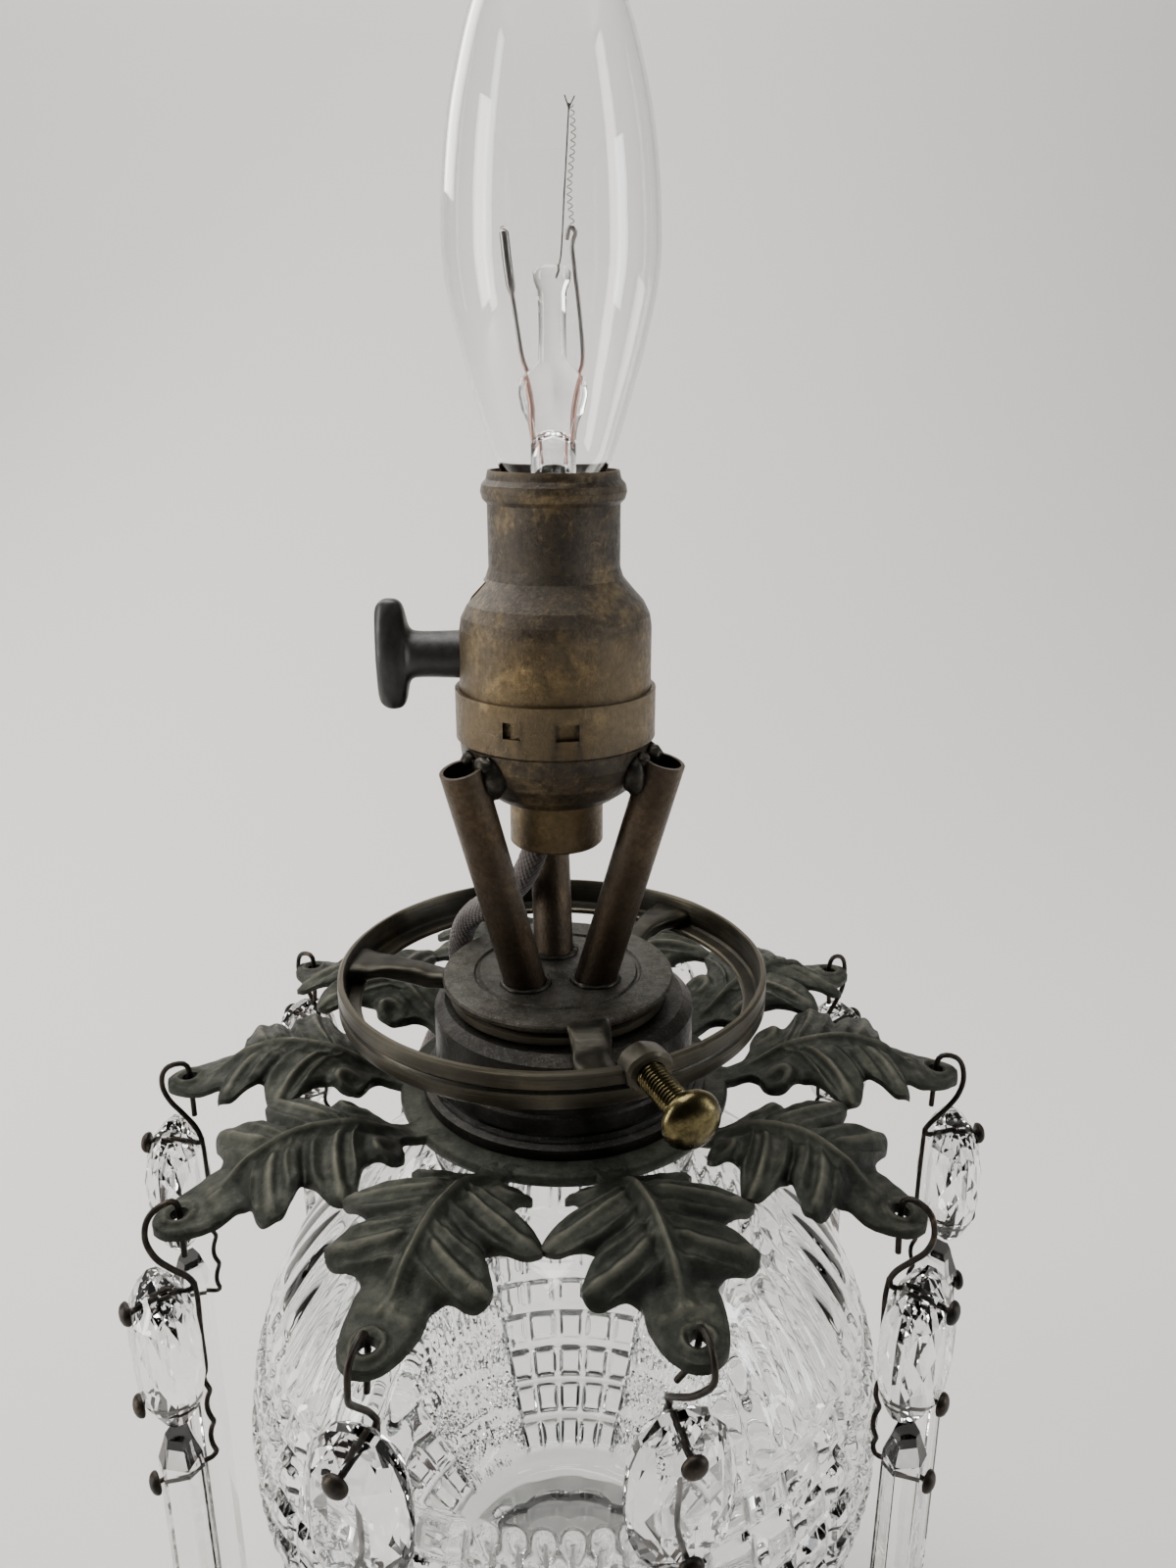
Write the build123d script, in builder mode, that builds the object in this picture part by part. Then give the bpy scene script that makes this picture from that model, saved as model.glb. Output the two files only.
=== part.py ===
from build123d import *
import math
import os

os.makedirs("parts", exist_ok=True)

# Cut-glass electric table lamp converted from an oil lamp. Millimetres, +Z up.
# Origin: centre of the foot's resting face, on the axis of the glass body.

# ---- driving dimensions -------------------------------------------------
UPPER_X = -1.0            # socket, tripod and hub stand this far off the glass axis
RING_X = -1.9             # shade ring's own centre

BULB_R, BULB_TIP, BULB_WIDE = 16.0, 352.0, 308.5
BASE_R = 5.85             # candelabra screw base
THREAD_PITCH = 2.54

RIM_TOP, NECK_R, BODY_R, BODY_LOW = 275.1, 10.4, 15.5, 234.2
BAND_R, BAND_TOP, BAND_LOW = 16.3, 241.2, 233.2
BUSH_R, BUSH_TOP, BUSH_LOW = 7.8, 222.4, 214.4
KEY_Z, KEY_STEM_R = 246.3, 3.85

TUBE_R, TUBE_BORE = 3.55, 2.9
DISC_R, DISC_TOP, DISC_T = 20.2, 190.0, 1.5
ADAPTER_R, ADAPTER_TOP, ADAPTER_LOW = 22.8, 185.5, 175.2
COLLAR_R, FLANGE_R = 23.3, 25.3
SHADE_R, SHADE_WALL, SHADE_TOP, SHADE_LOW = 37.2, 1.3, 191.8, 185.6
SCREW_R, SCREW_Z, SCREW_AZ = 2.3, 190.2, 294.0
HEAD_R = 4.6

LEAF_LOW, LEAF_T = 166.2, 2.2
LEAF_AZ = [249.2, 286.5, 323.9, 2.0, 36.5, 71.5, 107.0, 141.9, 180.2, 213.7]
LEAF_TIP = [72.8, 70.0, 68.0, 72.3, 74.0, 73.0, 73.0, 74.0, 72.0, 73.0]
PIVOT_Z = 167.7

JEWEL_W, JEWEL_H, JEWEL_T, JEWEL_Z = 16.0, 26.5, 9.0, 145.75
PIN_R, PIN_HOLE_R, PIN_HEAD_R = 0.45, 0.53, 1.8
JEWEL_PIN_UP, JEWEL_PIN_LOW = 154.5, 137.0
PRISM_TOP, PRISM_LOW, PRISM_PIN = 129.0, 33.0, 121.0
PRISM_W, PRISM_T = 9.6, 7.0
CHAIN_IN = 0.4            # the pendants' mid-plane stands this far outside the tip

BALL_R, BALL_Z, BALL_WALL = 60.5, 101.0, 4.0
FOOT_R = 46.0

CORD_D = 4.6
COIL_X, COIL_Y, COIL_MID_R, COIL_HALF = -58.5, -56.5, 26.0, 7.2


def turned(points, x=0.0):
    """A turned solid: a closed outline of (radius, height) about a vertical axis at x."""
    with BuildSketch(Plane((x, 0, 0), x_dir=(1, 0, 0), z_dir=(0, -1, 0))) as outline:
        with BuildLine():
            Polyline(*points, close=True)
        make_face()
    revolve(outline.sketch, axis=Axis((x, 0, 0), (0, 0, 1)))


def rod(a, b, r):
    """A round bar of radius r from point a to point b."""
    a, b = Vector(*a), Vector(*b)
    with BuildSketch(Plane(a, z_dir=b - a)) as section:
        Circle(r)
    extrude(section.sketch, amount=(b - a).length)


def wire(points, r):
    """A bent wire: round bars with a ball at each bend."""
    for a, b in zip(points, points[1:]):
        rod(a, b, r)
    for p in points[1:-1]:
        with Locations(p):
            Sphere(r)


def save(part, name):
    part.label = name
    export_step(part, f"parts/{name}.step")


# ---- bulb ---------------------------------------------------------------
X = UPPER_X
outer = [(5.45, 270.8), (8.5, 275.0), (12.05, 286.4), (15.3, 299.5), (16.0, 308.5),
         (15.5, 317.0), (14.0, 326.5), (10.8, 337.5), (6.2, 346.2), (2.6, 350.6), (0.0, 352.0)]
inner = [(0.0, 351.2), (2.2, 349.8), (5.6, 345.6), (10.1, 337.2), (13.3, 326.3), (14.8, 316.9),
         (15.3, 308.5), (14.6, 299.7), (11.35, 286.7), (7.8, 275.3), (4.8, 270.8)]
with BuildPart() as bulb_glass:
    with BuildSketch(Plane((X, 0, 0), x_dir=(1, 0, 0), z_dir=(0, -1, 0))):
        with BuildLine():
            Line((5.45, 269.6), outer[0])
            Spline(*outer, tangents=[(0.45, 1), (-1, 0)])
            Line(outer[-1], inner[0])
            Spline(*inner, tangents=[(1, 0), (-0.45, -1)])
            Line(inner[-1], (4.8, 269.6))
            Line((4.8, 269.6), (5.45, 269.6))
        make_face()
    revolve(axis=Axis((X, 0, 0), (0, 0, 1)))
save(bulb_glass.part, "bulb_glass")

with BuildPart() as bulb_stem:
    turned([(2.9, 269.6), (3.5, 269.6), (3.5, 282.6), (2.9, 282.6)], X)
    with BuildSketch(Plane((X, 0, 282.5))):
        RectangleRounded(8.0, 4.6, 1.5)
    extrude(amount=7.6)
    with Locations((X, 0, 296.0)):
        Cylinder(2.1, 13.0)
    with Locations((X, 0, 302.9)):
        Cylinder(2.8, 2.2)
save(bulb_stem.part, "bulb_stem")

with BuildPart() as bulb_lead_wires:
    wire([(X - 4.7, 0, 286.5), (X - 4.9, 0, 290.0), (X - 6.8, 0, 308.6)], 0.3)
    wire([(X + 4.7, 0, 286.5), (X + 4.4, 0, 290.6), (X + 3.0, 0, 308.0)], 0.3)
    rod((X + 1.2, 0, 304.0), (X + 2.5, 0, 325.0), 0.2)
save(bulb_lead_wires.part, "bulb_lead_wires")

with BuildPart() as bulb_base_shell:
    turned([(5.6, 270.4), (BASE_R, 270.4), (BASE_R, 256.6), (4.6, 255.2), (4.4, 255.6), (5.6, 257.0)], X)
save(bulb_base_shell.part, "bulb_base_shell")

with BuildPart() as bulb_base_insulator:
    turned([(0, 258.0), (4.4, 258.0), (4.4, 255.6), (2.4, 254.3), (0, 254.3)], X)
save(bulb_base_insulator.part, "bulb_base_insulator")

with BuildPart() as bulb_base_contact:
    turned([(0, 254.3), (2.2, 254.3), (2.2, 253.9), (1.5, 253.4), (0, 253.4)], X)
save(bulb_base_contact.part, "bulb_base_contact")

# ---- socket -------------------------------------------------------------
with BuildPart() as socket_shell:
    turned([(9.8, RIM_TOP), (10.2, RIM_TOP), (10.5, 273.8), (11.2, 273.0), (11.4, 271.9), (11.1, 270.8),
            (NECK_R, 270.1), (NECK_R, 260.4), (10.9, 258.8), (12.4, 257.0), (14.2, 255.0), (15.2, 253.0),
            (BODY_R, 251.0), (BODY_R, BODY_LOW), (BODY_R - 0.5, BODY_LOW), (BODY_R - 0.5, 251.0),
            (14.7, 252.8), (13.8, 254.7), (12.0, 256.6), (10.4, 258.5), (9.9, 260.4), (9.9, 270.4),
            (10.5, 271.1), (10.8, 271.9), (10.6, 272.6), (9.9, 273.6)], X)
    with BuildSketch(Plane((X, 0, KEY_Z), x_dir=(0, 1, 0), z_dir=(-1, 0, 0))):
        Circle(KEY_STEM_R + 0.25)
        with Locations((0, (BODY_LOW - KEY_Z) / 2)):
            Rectangle(2 * (KEY_STEM_R + 0.25), KEY_Z - BODY_LOW)
    extrude(amount=20, mode=Mode.SUBTRACT)
save(socket_shell.part, "socket_shell")

with BuildPart() as socket_cap:
    turned([(BAND_R - 0.7, BAND_TOP), (BAND_R, BAND_TOP), (BAND_R, BAND_LOW), (15.8, 232.7), (15.5, 230.0),
            (14.4, 227.2), (12.4, 224.6), (10.2, 223.0), (5.2, 222.5), (5.2, 223.1), (10.0, 223.6),
            (12.0, 225.1), (13.9, 227.5), (14.9, 230.1), (15.2, 233.6), (BAND_R - 0.7, 233.6)], X)
    for az, w in ((247.0, 3.0), (278.0, 3.6)):
        with BuildSketch(Plane((X, 0, 237.4), x_dir=(-math.sin(math.radians(az)), math.cos(math.radians(az)), 0),
                               z_dir=(math.cos(math.radians(az)), math.sin(math.radians(az)), 0)).offset(15.55)):
            Rectangle(w, 2.6)
        extrude(amount=2, mode=Mode.SUBTRACT)
save(socket_cap.part, "socket_cap")

with BuildPart() as cap_bushing:
    turned([(6.5, BUSH_TOP), (BUSH_R, BUSH_TOP), (BUSH_R, BUSH_LOW + 0.4), (BUSH_R - 0.4, BUSH_LOW),
            (6.7, BUSH_LOW), (6.5, BUSH_LOW + 0.3)], X)
save(cap_bushing.part, "cap_bushing")

with BuildPart() as insulating_liner:
    turned([(14.2, 235.0), (14.85, 235.0), (14.85, 250.8), (14.5, 252.6), (13.5, 254.4), (11.8, 256.2),
            (10.1, 258.2), (9.75, 260.3), (9.75, 269.5), (9.2, 269.5), (9.2, 260.2), (9.6, 258.0),
            (11.3, 255.8), (12.9, 254.0), (13.9, 252.3), (14.2, 250.7)], X)
    with BuildSketch(Plane((X, 0, KEY_Z), x_dir=(0, 1, 0), z_dir=(-1, 0, 0))):
        Circle(KEY_STEM_R + 0.25)
    extrude(amount=20, mode=Mode.SUBTRACT)
save(insulating_liner.part, "insulating_liner")

with BuildPart() as socket_insulator:
    turned([(0, 236.0), (13.6, 236.0), (13.6, 251.0), (8.6, 252.0), (0, 252.0)], X)
    with BuildSketch(Plane((X, 0, KEY_Z), x_dir=(0, 1, 0), z_dir=(-1, 0, 0)).offset(-5.0)):
        Circle(2.45)
    extrude(amount=20, mode=Mode.SUBTRACT)
    with Locations((X - 2.0, 0, KEY_Z)):
        Box(5.0, 11.0, 9.0, mode=Mode.SUBTRACT)
    with Locations((X, 12.9, 243.0), (X, -12.9, 243.0)):
        Box(8.0, 3.0, 7.0, mode=Mode.SUBTRACT)
save(socket_insulator.part, "socket_insulator")

with BuildPart() as screw_shell:
    turned([(BASE_R + 0.1, 252.6), (BASE_R + 0.1, 268.5), (BASE_R + 0.5, 268.5), (BASE_R + 0.5, 252.0),
            (4.2, 252.0), (4.2, 252.6)], X)
save(screw_shell.part, "screw_shell")

with BuildPart() as centre_contact:
    turned([(0, 252.0), (2.6, 252.0), (2.6, 252.5), (1.2, 253.2), (0, 253.2)], X)
save(centre_contact.part, "centre_contact")

with BuildPart() as switch_rotor:
    rod((X - 14.3, 0, KEY_Z), (X + 4.9, 0, KEY_Z), 2.4)
    rod((X - 4.0, 0, KEY_Z), (X, 0, KEY_Z), 4.2)
save(switch_rotor.part, "switch_rotor")

with BuildPart() as switch_key:
    rod((X - 14.3, 0, KEY_Z), (X - 24.2, 0, KEY_Z), KEY_STEM_R)
    with BuildSketch(Plane((X - 23.9, 0, KEY_Z), x_dir=(0, 1, 0), z_dir=(-1, 0, 0))):
        SlotOverall(18.0, 4.4, rotation=90)
    extrude(amount=4.5)
    with Locations((X - 28.4, 0, KEY_Z)):
        Sphere(1.3)
save(switch_key.part, "switch_key")

with BuildPart() as terminal_screws:
    for s in (1, -1):
        rod((X, s * 11.4, 243.0), (X, s * 12.0, 243.0), 1.3)
        rod((X, s * 12.0, 243.0), (X, s * 13.4, 243.0), 2.4)
save(terminal_screws.part, "terminal_screws")

# ---- tripod, hub and fitter --------------------------------------------
with BuildPart() as tripod_tubes:
    for a_low, a_up, top in ((224.0, 220.0, 18.9), (331.0, 337.0, 18.9), (97.0, 98.0, 18.9)):
        low = Vector(X + 7.5 * math.cos(math.radians(a_low)), 7.5 * math.sin(math.radians(a_low)), DISC_TOP)
        up = Vector(X + top * math.cos(math.radians(a_up)), top * math.sin(math.radians(a_up)), 230.6)
        d = (up - low).normalized()
        with BuildSketch(Plane(low - d * 4, z_dir=d)):
            Circle(TUBE_R)
            Circle(TUBE_BORE, mode=Mode.SUBTRACT)
        extrude(amount=(up - low).length + 4)
    with Locations((X, 0, DISC_TOP - 10)):
        Box(80, 80, 20, mode=Mode.SUBTRACT)
    with BuildSketch(Plane((X, 0, 0), x_dir=(1, 0, 0), z_dir=(0, -1, 0))):
        with BuildLine():
            Polyline((0, 245), (BAND_R + 0.05, 245), (BAND_R + 0.05, BAND_LOW), (15.85, 232.7), (15.55, 230.0),
                     (14.45, 227.15), (12.45, 224.55), (10.2, 222.9), (0, 222.9), close=True)
        make_face()
    revolve(axis=Axis((X, 0, 0), (0, 0, 1)), mode=Mode.SUBTRACT)
save(tripod_tubes.part, "tripod_tubes")

with BuildPart() as hub_disc:
    turned([(0, DISC_TOP), (DISC_R - 0.3, DISC_TOP), (DISC_R, DISC_TOP - 0.3), (DISC_R, DISC_TOP - DISC_T),
            (10.8, DISC_TOP - DISC_T), (10.8, ADAPTER_TOP), (0, ADAPTER_TOP)], X)
save(hub_disc.part, "hub_disc")

with BuildPart() as adapter_ring:
    turned([(8.0, ADAPTER_TOP), (ADAPTER_R - 1.8, ADAPTER_TOP), (ADAPTER_R, ADAPTER_TOP - 1.5),
            (ADAPTER_R, ADAPTER_LOW), (18.9, ADAPTER_LOW), (18.9, 173.0), (15.0, 173.0), (15.0, 181.5),
            (8.0, 181.5)])
save(adapter_ring.part, "adapter_ring")

with BuildPart() as font_collar:
    turned([(19.0, ADAPTER_LOW), (COLLAR_R - 0.4, ADAPTER_LOW), (COLLAR_R, ADAPTER_LOW - 0.5), (COLLAR_R, 171.4),
            (24.0, 170.6), (FLANGE_R, 170.3), (FLANGE_R, LEAF_LOW + LEAF_T), (22.0, LEAF_LOW + LEAF_T),
            (22.0, LEAF_LOW - 0.2), (19.0, LEAF_LOW - 0.2)])
save(font_collar.part, "font_collar")

with BuildPart() as shade_ring:
    turned([(SHADE_R - SHADE_WALL, SHADE_TOP), (SHADE_R, SHADE_TOP), (SHADE_R, 188.95), (SHADE_R - 0.25, 188.7),
            (SHADE_R, 188.45), (SHADE_R, SHADE_LOW), (33.4, SHADE_LOW), (33.4, SHADE_LOW + 1.1),
            (SHADE_R - SHADE_WALL, SHADE_LOW + 1.3)], RING_X)
    turned([(12.0, 187.5), (19.0, 187.5), (19.0, 185.6), (12.0, 185.6)], RING_X)
    for az in (287.0, 172.0, 50.0):
        d = Vector(math.cos(math.radians(az)), math.sin(math.radians(az)), 0)
        with BuildSketch(Plane(Vector(RING_X, 0, 0) + d * 18.0, x_dir=(-d.Y, d.X, 0), z_dir=d)):
            with Locations((0, 186.55)):
                Rectangle(6.5, 1.9)
        extrude(amount=16.5)
    d = Vector(math.cos(math.radians(SCREW_AZ)), math.sin(math.radians(SCREW_AZ)), 0)
    axis0 = Vector(RING_X, 0, SCREW_Z)
    with BuildSketch(Plane(axis0 + d * 36.3, z_dir=d)):
        Circle(3.7)
    extrude(amount=3.6)
    with BuildSketch(Plane(axis0 + d * 33.0, z_dir=d)):
        Circle(SCREW_R + 0.08)
    extrude(amount=10, mode=Mode.SUBTRACT)
save(shade_ring.part, "shade_ring")

with BuildPart() as thumbscrew:
    with BuildSketch(Plane(axis0 + d * 34.4, z_dir=d)):
        Circle(SCREW_R)
    extrude(amount=15.6)
    with BuildSketch(Plane(axis0 + d * 49.6, z_dir=d)):
        Circle(3.0)
    with BuildSketch(Plane(axis0 + d * 50.6, z_dir=d)):
        Circle(HEAD_R)
    loft()
    with BuildSketch(Plane(axis0 + d * 50.6, z_dir=d)):
        Circle(HEAD_R)
    extrude(amount=0.8)
    with BuildSketch(Plane(axis0 + d * 51.4, z_dir=d)):
        Circle(HEAD_R)
    with BuildSketch(Plane(axis0 + d * 52.9, z_dir=d)):
        Circle(2.2)
    loft()
save(thumbscrew.part, "thumbscrew")

# ---- leaf ring that carries the prisms ----------------------------------
HALF_LEAF = [(27.0, 3.4), (33.5, 3.2), (37.0, 6.0), (41.0, 11.0), (45.5, 13.4), (48.5, 15.6), (51.0, 14.6),
             (53.5, 10.0), (57.5, 11.4), (60.5, 7.6), (64.5, 6.8), (69.5, 3.8)]
with BuildPart() as arched:
    turned([(22.2, LEAF_LOW), (22.2, LEAF_LOW + LEAF_T), (29.5, LEAF_LOW + LEAF_T), (35.0, 170.7), (42.0, 174.4),
            (50.0, 175.6), (58.0, 173.6), (62.0, 170.9), (65.0, 169.2), (76.0, 168.0), (76.0, 165.9), (65.0, 167.1), (62.0, 168.8),
            (58.0, 171.5), (50.0, 173.5), (42.0, 172.3), (35.0, 168.5), (30.0, LEAF_LOW)])
with BuildPart() as prism_ring:
    with BuildSketch(Plane.XY.offset(160)):
        Circle(29.5)
        for az, tip in zip(LEAF_AZ, LEAF_TIP):
            c, s = math.cos(math.radians(az)), math.sin(math.radians(az))
            k = (tip - 27.0) / 46.0
            side = [(27.0 + (r - 27.0) * k, w) for r, w in HALF_LEAF] + [(tip - 0.6, 1.4)]
            both = [(r, w) for r, w in side] + [(tip, 0.0)] + [(r, -w) for r, w in reversed(side)]
            with BuildLine():
                Polyline(*[(r * c - w * s, r * s + w * c) for r, w in both], close=True)
            make_face()
            with Locations(((tip - 4.0) * c, (tip - 4.0) * s)):
                Circle(1.4, mode=Mode.SUBTRACT)
        Circle(22.2, mode=Mode.SUBTRACT)
    extrude(amount=30)
    add(arched.part, mode=Mode.INTERSECT)
save(prism_ring.part, "prism_ring")

# ---- glass body ---------------------------------------------------------
with BuildPart() as glass_body:
    out = []
    for i in range(25):
        a = math.radians(66.6 - i * (66.6 + 69.0) / 24)
        out.append((BALL_R * math.cos(a), BALL_Z + BALL_R * math.sin(a)))
    ins = []
    for i in range(25):
        a = math.radians(-66.0 + i * (66.0 + 71.0) / 24)
        ins.append(((BALL_R - BALL_WALL) * math.cos(a), BALL_Z + (BALL_R - BALL_WALL) * math.sin(a)))
    profile = ([(16.6, 172.5), (18.8, 172.5), (18.8, 165.9), (24.0, 165.9)] + out
               + [(21.0, 40.5), (20.0, 34.0), (22.0, 27.0), (29.0, 18.0), (41.0, 9.0), (FOOT_R, 5.0),
                  (FOOT_R, 1.0), (FOOT_R - 1.0, 0.0), (0.0, 0.0), (0.0, 49.4)] + ins + [(18.4, 158.0), (16.6, 163.0)])
    turned(profile)
save(glass_body.part, "glass_body")


# ---- ten hanging chains: jewel, its wires and a long prism ---------------
def chain(index, az, tip):
    e = Vector(math.cos(math.radians(az)), math.sin(math.radians(az)), 0)
    t = Vector(-e.Y, e.X, 0)

    def at(rho, z, side=0.0):
        v = e * (tip + rho) + t * side
        return Vector(v.X, v.Y, z)

    def octagon(w, h, cw, ch):
        with BuildLine() as edge:
            Polyline((w / 2 - cw, h / 2), (w / 2, h / 2 - ch), (w / 2, ch - h / 2), (w / 2 - cw, -h / 2),
                     (cw - w / 2, -h / 2), (-w / 2, ch - h / 2), (-w / 2, h / 2 - ch), (cw - w / 2, h / 2), close=True)
        make_face(edge.edges())

    mid = Plane(at(CHAIN_IN, JEWEL_Z), x_dir=t, z_dir=e)
    with BuildPart() as jewel:
        with BuildSketch(mid.offset(-0.4)):
            octagon(JEWEL_W, JEWEL_H, 4.6, 7.0)
        extrude(amount=0.8)
        for s in (1, -1):
            with BuildSketch(mid.offset(0.4 * s)):
                octagon(JEWEL_W, JEWEL_H, 4.6, 7.0)
            with BuildSketch(mid.offset(JEWEL_T / 2 * s)):
                octagon(JEWEL_W * 0.6, JEWEL_H * 0.6, 2.76, 4.2)
            loft()
        for z in (JEWEL_PIN_UP, JEWEL_PIN_LOW):
            with BuildSketch(Plane(at(-12, z), z_dir=e)):
                Circle(PIN_R + 0.02)
            extrude(amount=24, mode=Mode.SUBTRACT)
    save(jewel.part, f"jewel_{index:02d}")

    back = CHAIN_IN - 5.2
    with BuildPart() as wires:
        wire([at(-4.0, 160.2), at(-4.0, 170.3), at(0.9, 169.4), at(1.3, 165.0), at(back, 156.6),
              at(back, JEWEL_PIN_UP), at(5.2, JEWEL_PIN_UP)], PIN_R)
        rod(at(4.9, JEWEL_PIN_UP), at(6.0, JEWEL_PIN_UP), PIN_HEAD_R)
        wire([at(5.2, JEWEL_PIN_LOW), at(back, JEWEL_PIN_LOW), at(back, PRISM_PIN), at(4.4, PRISM_PIN)], PIN_R)
        rod(at(4.9, JEWEL_PIN_LOW), at(6.0, JEWEL_PIN_LOW), PIN_HEAD_R)
        rod(at(4.2, PRISM_PIN), at(5.3, PRISM_PIN), PIN_HEAD_R)
    save(wires.part, f"chain_wires_{index:02d}")

    def lozenge(w, d):
        with BuildLine() as edge:
            Polyline((w / 2, 0), (w * 0.26, d / 2), (-w * 0.26, d / 2), (-w / 2, 0), (-w * 0.26, -d / 2),
                     (w * 0.26, -d / 2), close=True)
        make_face(edge.edges())

    with BuildPart() as prism:
        for (z0, w0, d0), (z1, w1, d1) in (((PRISM_TOP, 5.0, 3.6), (PRISM_TOP - 4.5, 8.4, 6.2)),
                                           ((PRISM_TOP - 4.5, 8.4, 6.2), (PRISM_LOW + 9, PRISM_W, PRISM_T)),
                                           ((PRISM_LOW + 9, PRISM_W, PRISM_T), (PRISM_LOW, 1.6, 1.2))):
            with BuildSketch(Plane(at(CHAIN_IN, z0), x_dir=t, z_dir=(0, 0, -1))):
                lozenge(w0, d0)
            with BuildSketch(Plane(at(CHAIN_IN, z1), x_dir=t, z_dir=(0, 0, -1))):
                lozenge(w1, d1)
            loft(ruled=True)
        with BuildSketch(Plane(at(-12, PRISM_PIN), z_dir=e)):
            Circle(PIN_HOLE_R)
        extrude(amount=24, mode=Mode.SUBTRACT)
    save(prism.part, f"prism_{index:02d}")


for i, (az, tip) in enumerate(zip(LEAF_AZ, LEAF_TIP)):
    chain(i + 1, az, tip)

# ---- supply cord --------------------------------------------------------
CORD_ROUTE = [(-4.0, 1.0, 214.4), (-6.4, 3.6, 205.8), (-11.7, 9.2, 199.4), (-18.0, 15.8, 193.6), (-20.8, 19.6, 185.4),
              (-20.6, 26.4, 175.5), (-24.6, 33.8, 164.0), (-31.0, 42.5, 148.0), (-38.0, 51.5, 126.0),
              (-40.8, 55.0, 98.0), (-41.6, 55.6, 68.0), (-41.2, 54.6, 40.0), (-44.6, 51.6, 18.0),
              (-53.0, 44.0, 4.2), (-65.0, 29.0, 2.45), (-76.0, 7.0, 2.5), (-84.0, -18.0, 2.6), (-88.8, -42.6, 3.2)]


def corner_radii(route):
    out = []
    for a, b, c in zip(route, route[1:], route[2:]):
        u, v = Vector(*b) - Vector(*a), Vector(*c) - Vector(*b)
        turn = math.radians(u.get_angle(v))
        out.append(0.45 * min(u.length, v.length) / math.tan(turn / 2))
    return out


radii = corner_radii(CORD_ROUTE)
print("cord radii", [round(r, 1) for r in radii])
with BuildPart() as cord_tube:
    with BuildLine() as route:
        FilletPolyline(*CORD_ROUTE, radius=radii)
    with BuildSketch(Plane(CORD_ROUTE[0], z_dir=Vector(*CORD_ROUTE[1]) - Vector(*CORD_ROUTE[0]))):
        Circle(CORD_D / 2)
    sweep()
run = sum(e.length for e in route.edges())
print("cord tube length", round(run, 1), "volume", round(cord_tube.part.volume, 1),
      "section x length", round(math.pi * CORD_D ** 2 / 4 * run, 1))
save(cord_tube.part, "cord_tube")

with BuildPart() as cord_coil:
    with BuildSketch(Plane((COIL_X, COIL_Y, 0), x_dir=(1, 0, 0), z_dir=(0, -1, 0))):
        with Locations((COIL_MID_R, COIL_HALF + 0.1)):
            RectangleRounded(2 * COIL_HALF, 2 * COIL_HALF, 2.2)
    revolve(axis=Axis((COIL_X, COIL_Y, 0), (0, 0, 1)))
    with Locations((COIL_X + COIL_MID_R, COIL_Y, COIL_HALF)):
        Box(2 * COIL_HALF + 2, 5.4, 2 * COIL_HALF + 2, mode=Mode.SUBTRACT)
    with Locations((COIL_X + COIL_MID_R, COIL_Y, COIL_HALF + 0.1)):
        Box(2 * COIL_HALF - 1.6, 5.4, 2 * COIL_HALF - 1.6)
save(cord_coil.part, "cord_coil")

with BuildPart() as cord_tie:
    with Locations((COIL_X + COIL_MID_R, COIL_Y, COIL_HALF + 0.1)):
        Box(2 * COIL_HALF - 0.1, 5.2, 2 * COIL_HALF - 0.1)
        Box(2 * COIL_HALF - 1.6, 6.0, 2 * COIL_HALF - 1.6, mode=Mode.SUBTRACT)
save(cord_tie.part, "cord_tie")

TAIL_ROUTE = [(-44.5, -86.4, 2.6), (-36.4, -83.2, 3.4), (-28.2, -79.0, 6.6), (-20.0, -74.5, 7.2)]
with BuildPart() as cord_tail:
    with BuildLine():
        FilletPolyline(*TAIL_ROUTE, radius=corner_radii(TAIL_ROUTE))
    with BuildSketch(Plane(TAIL_ROUTE[0], z_dir=Vector(*TAIL_ROUTE[1]) - Vector(*TAIL_ROUTE[0]))):
        Circle(CORD_D / 2)
    sweep()
print("tail radii", [round(r, 1) for r in corner_radii(TAIL_ROUTE)])
save(cord_tail.part, "cord_tail")

# two-blade plug, lying flat beside the coil
PLUG = Plane(origin=(-20.0, -74.5, 7.2), x_dir=(-0.482, 0.876, 0), z_dir=(0.876, 0.482, 0))
with BuildPart() as plug_body:
    with BuildSketch(PLUG):
        RectangleRounded(7.0, 7.0, 3.0)
    with BuildSketch(PLUG.offset(9.0)):
        RectangleRounded(21.0, 13.6, 5.0)
    loft()
    with BuildSketch(PLUG.offset(9.0)):
        RectangleRounded(21.0, 13.6, 5.0)
    extrude(amount=13.0)
save(plug_body.part, "plug_body")

with BuildPart() as plug_blades:
    for s in (1, -1):
        with BuildSketch(PLUG.offset(22.0)):
            with Locations((s * 6.35, 0)):
                Rectangle(1.5, 6.35)
        extrude(amount=16.0)
save(plug_blades.part, "plug_blades")
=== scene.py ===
import math

import bmesh
import bpy
import numpy as np
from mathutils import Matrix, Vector, noise
from mathutils.kdtree import KDTree


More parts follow.
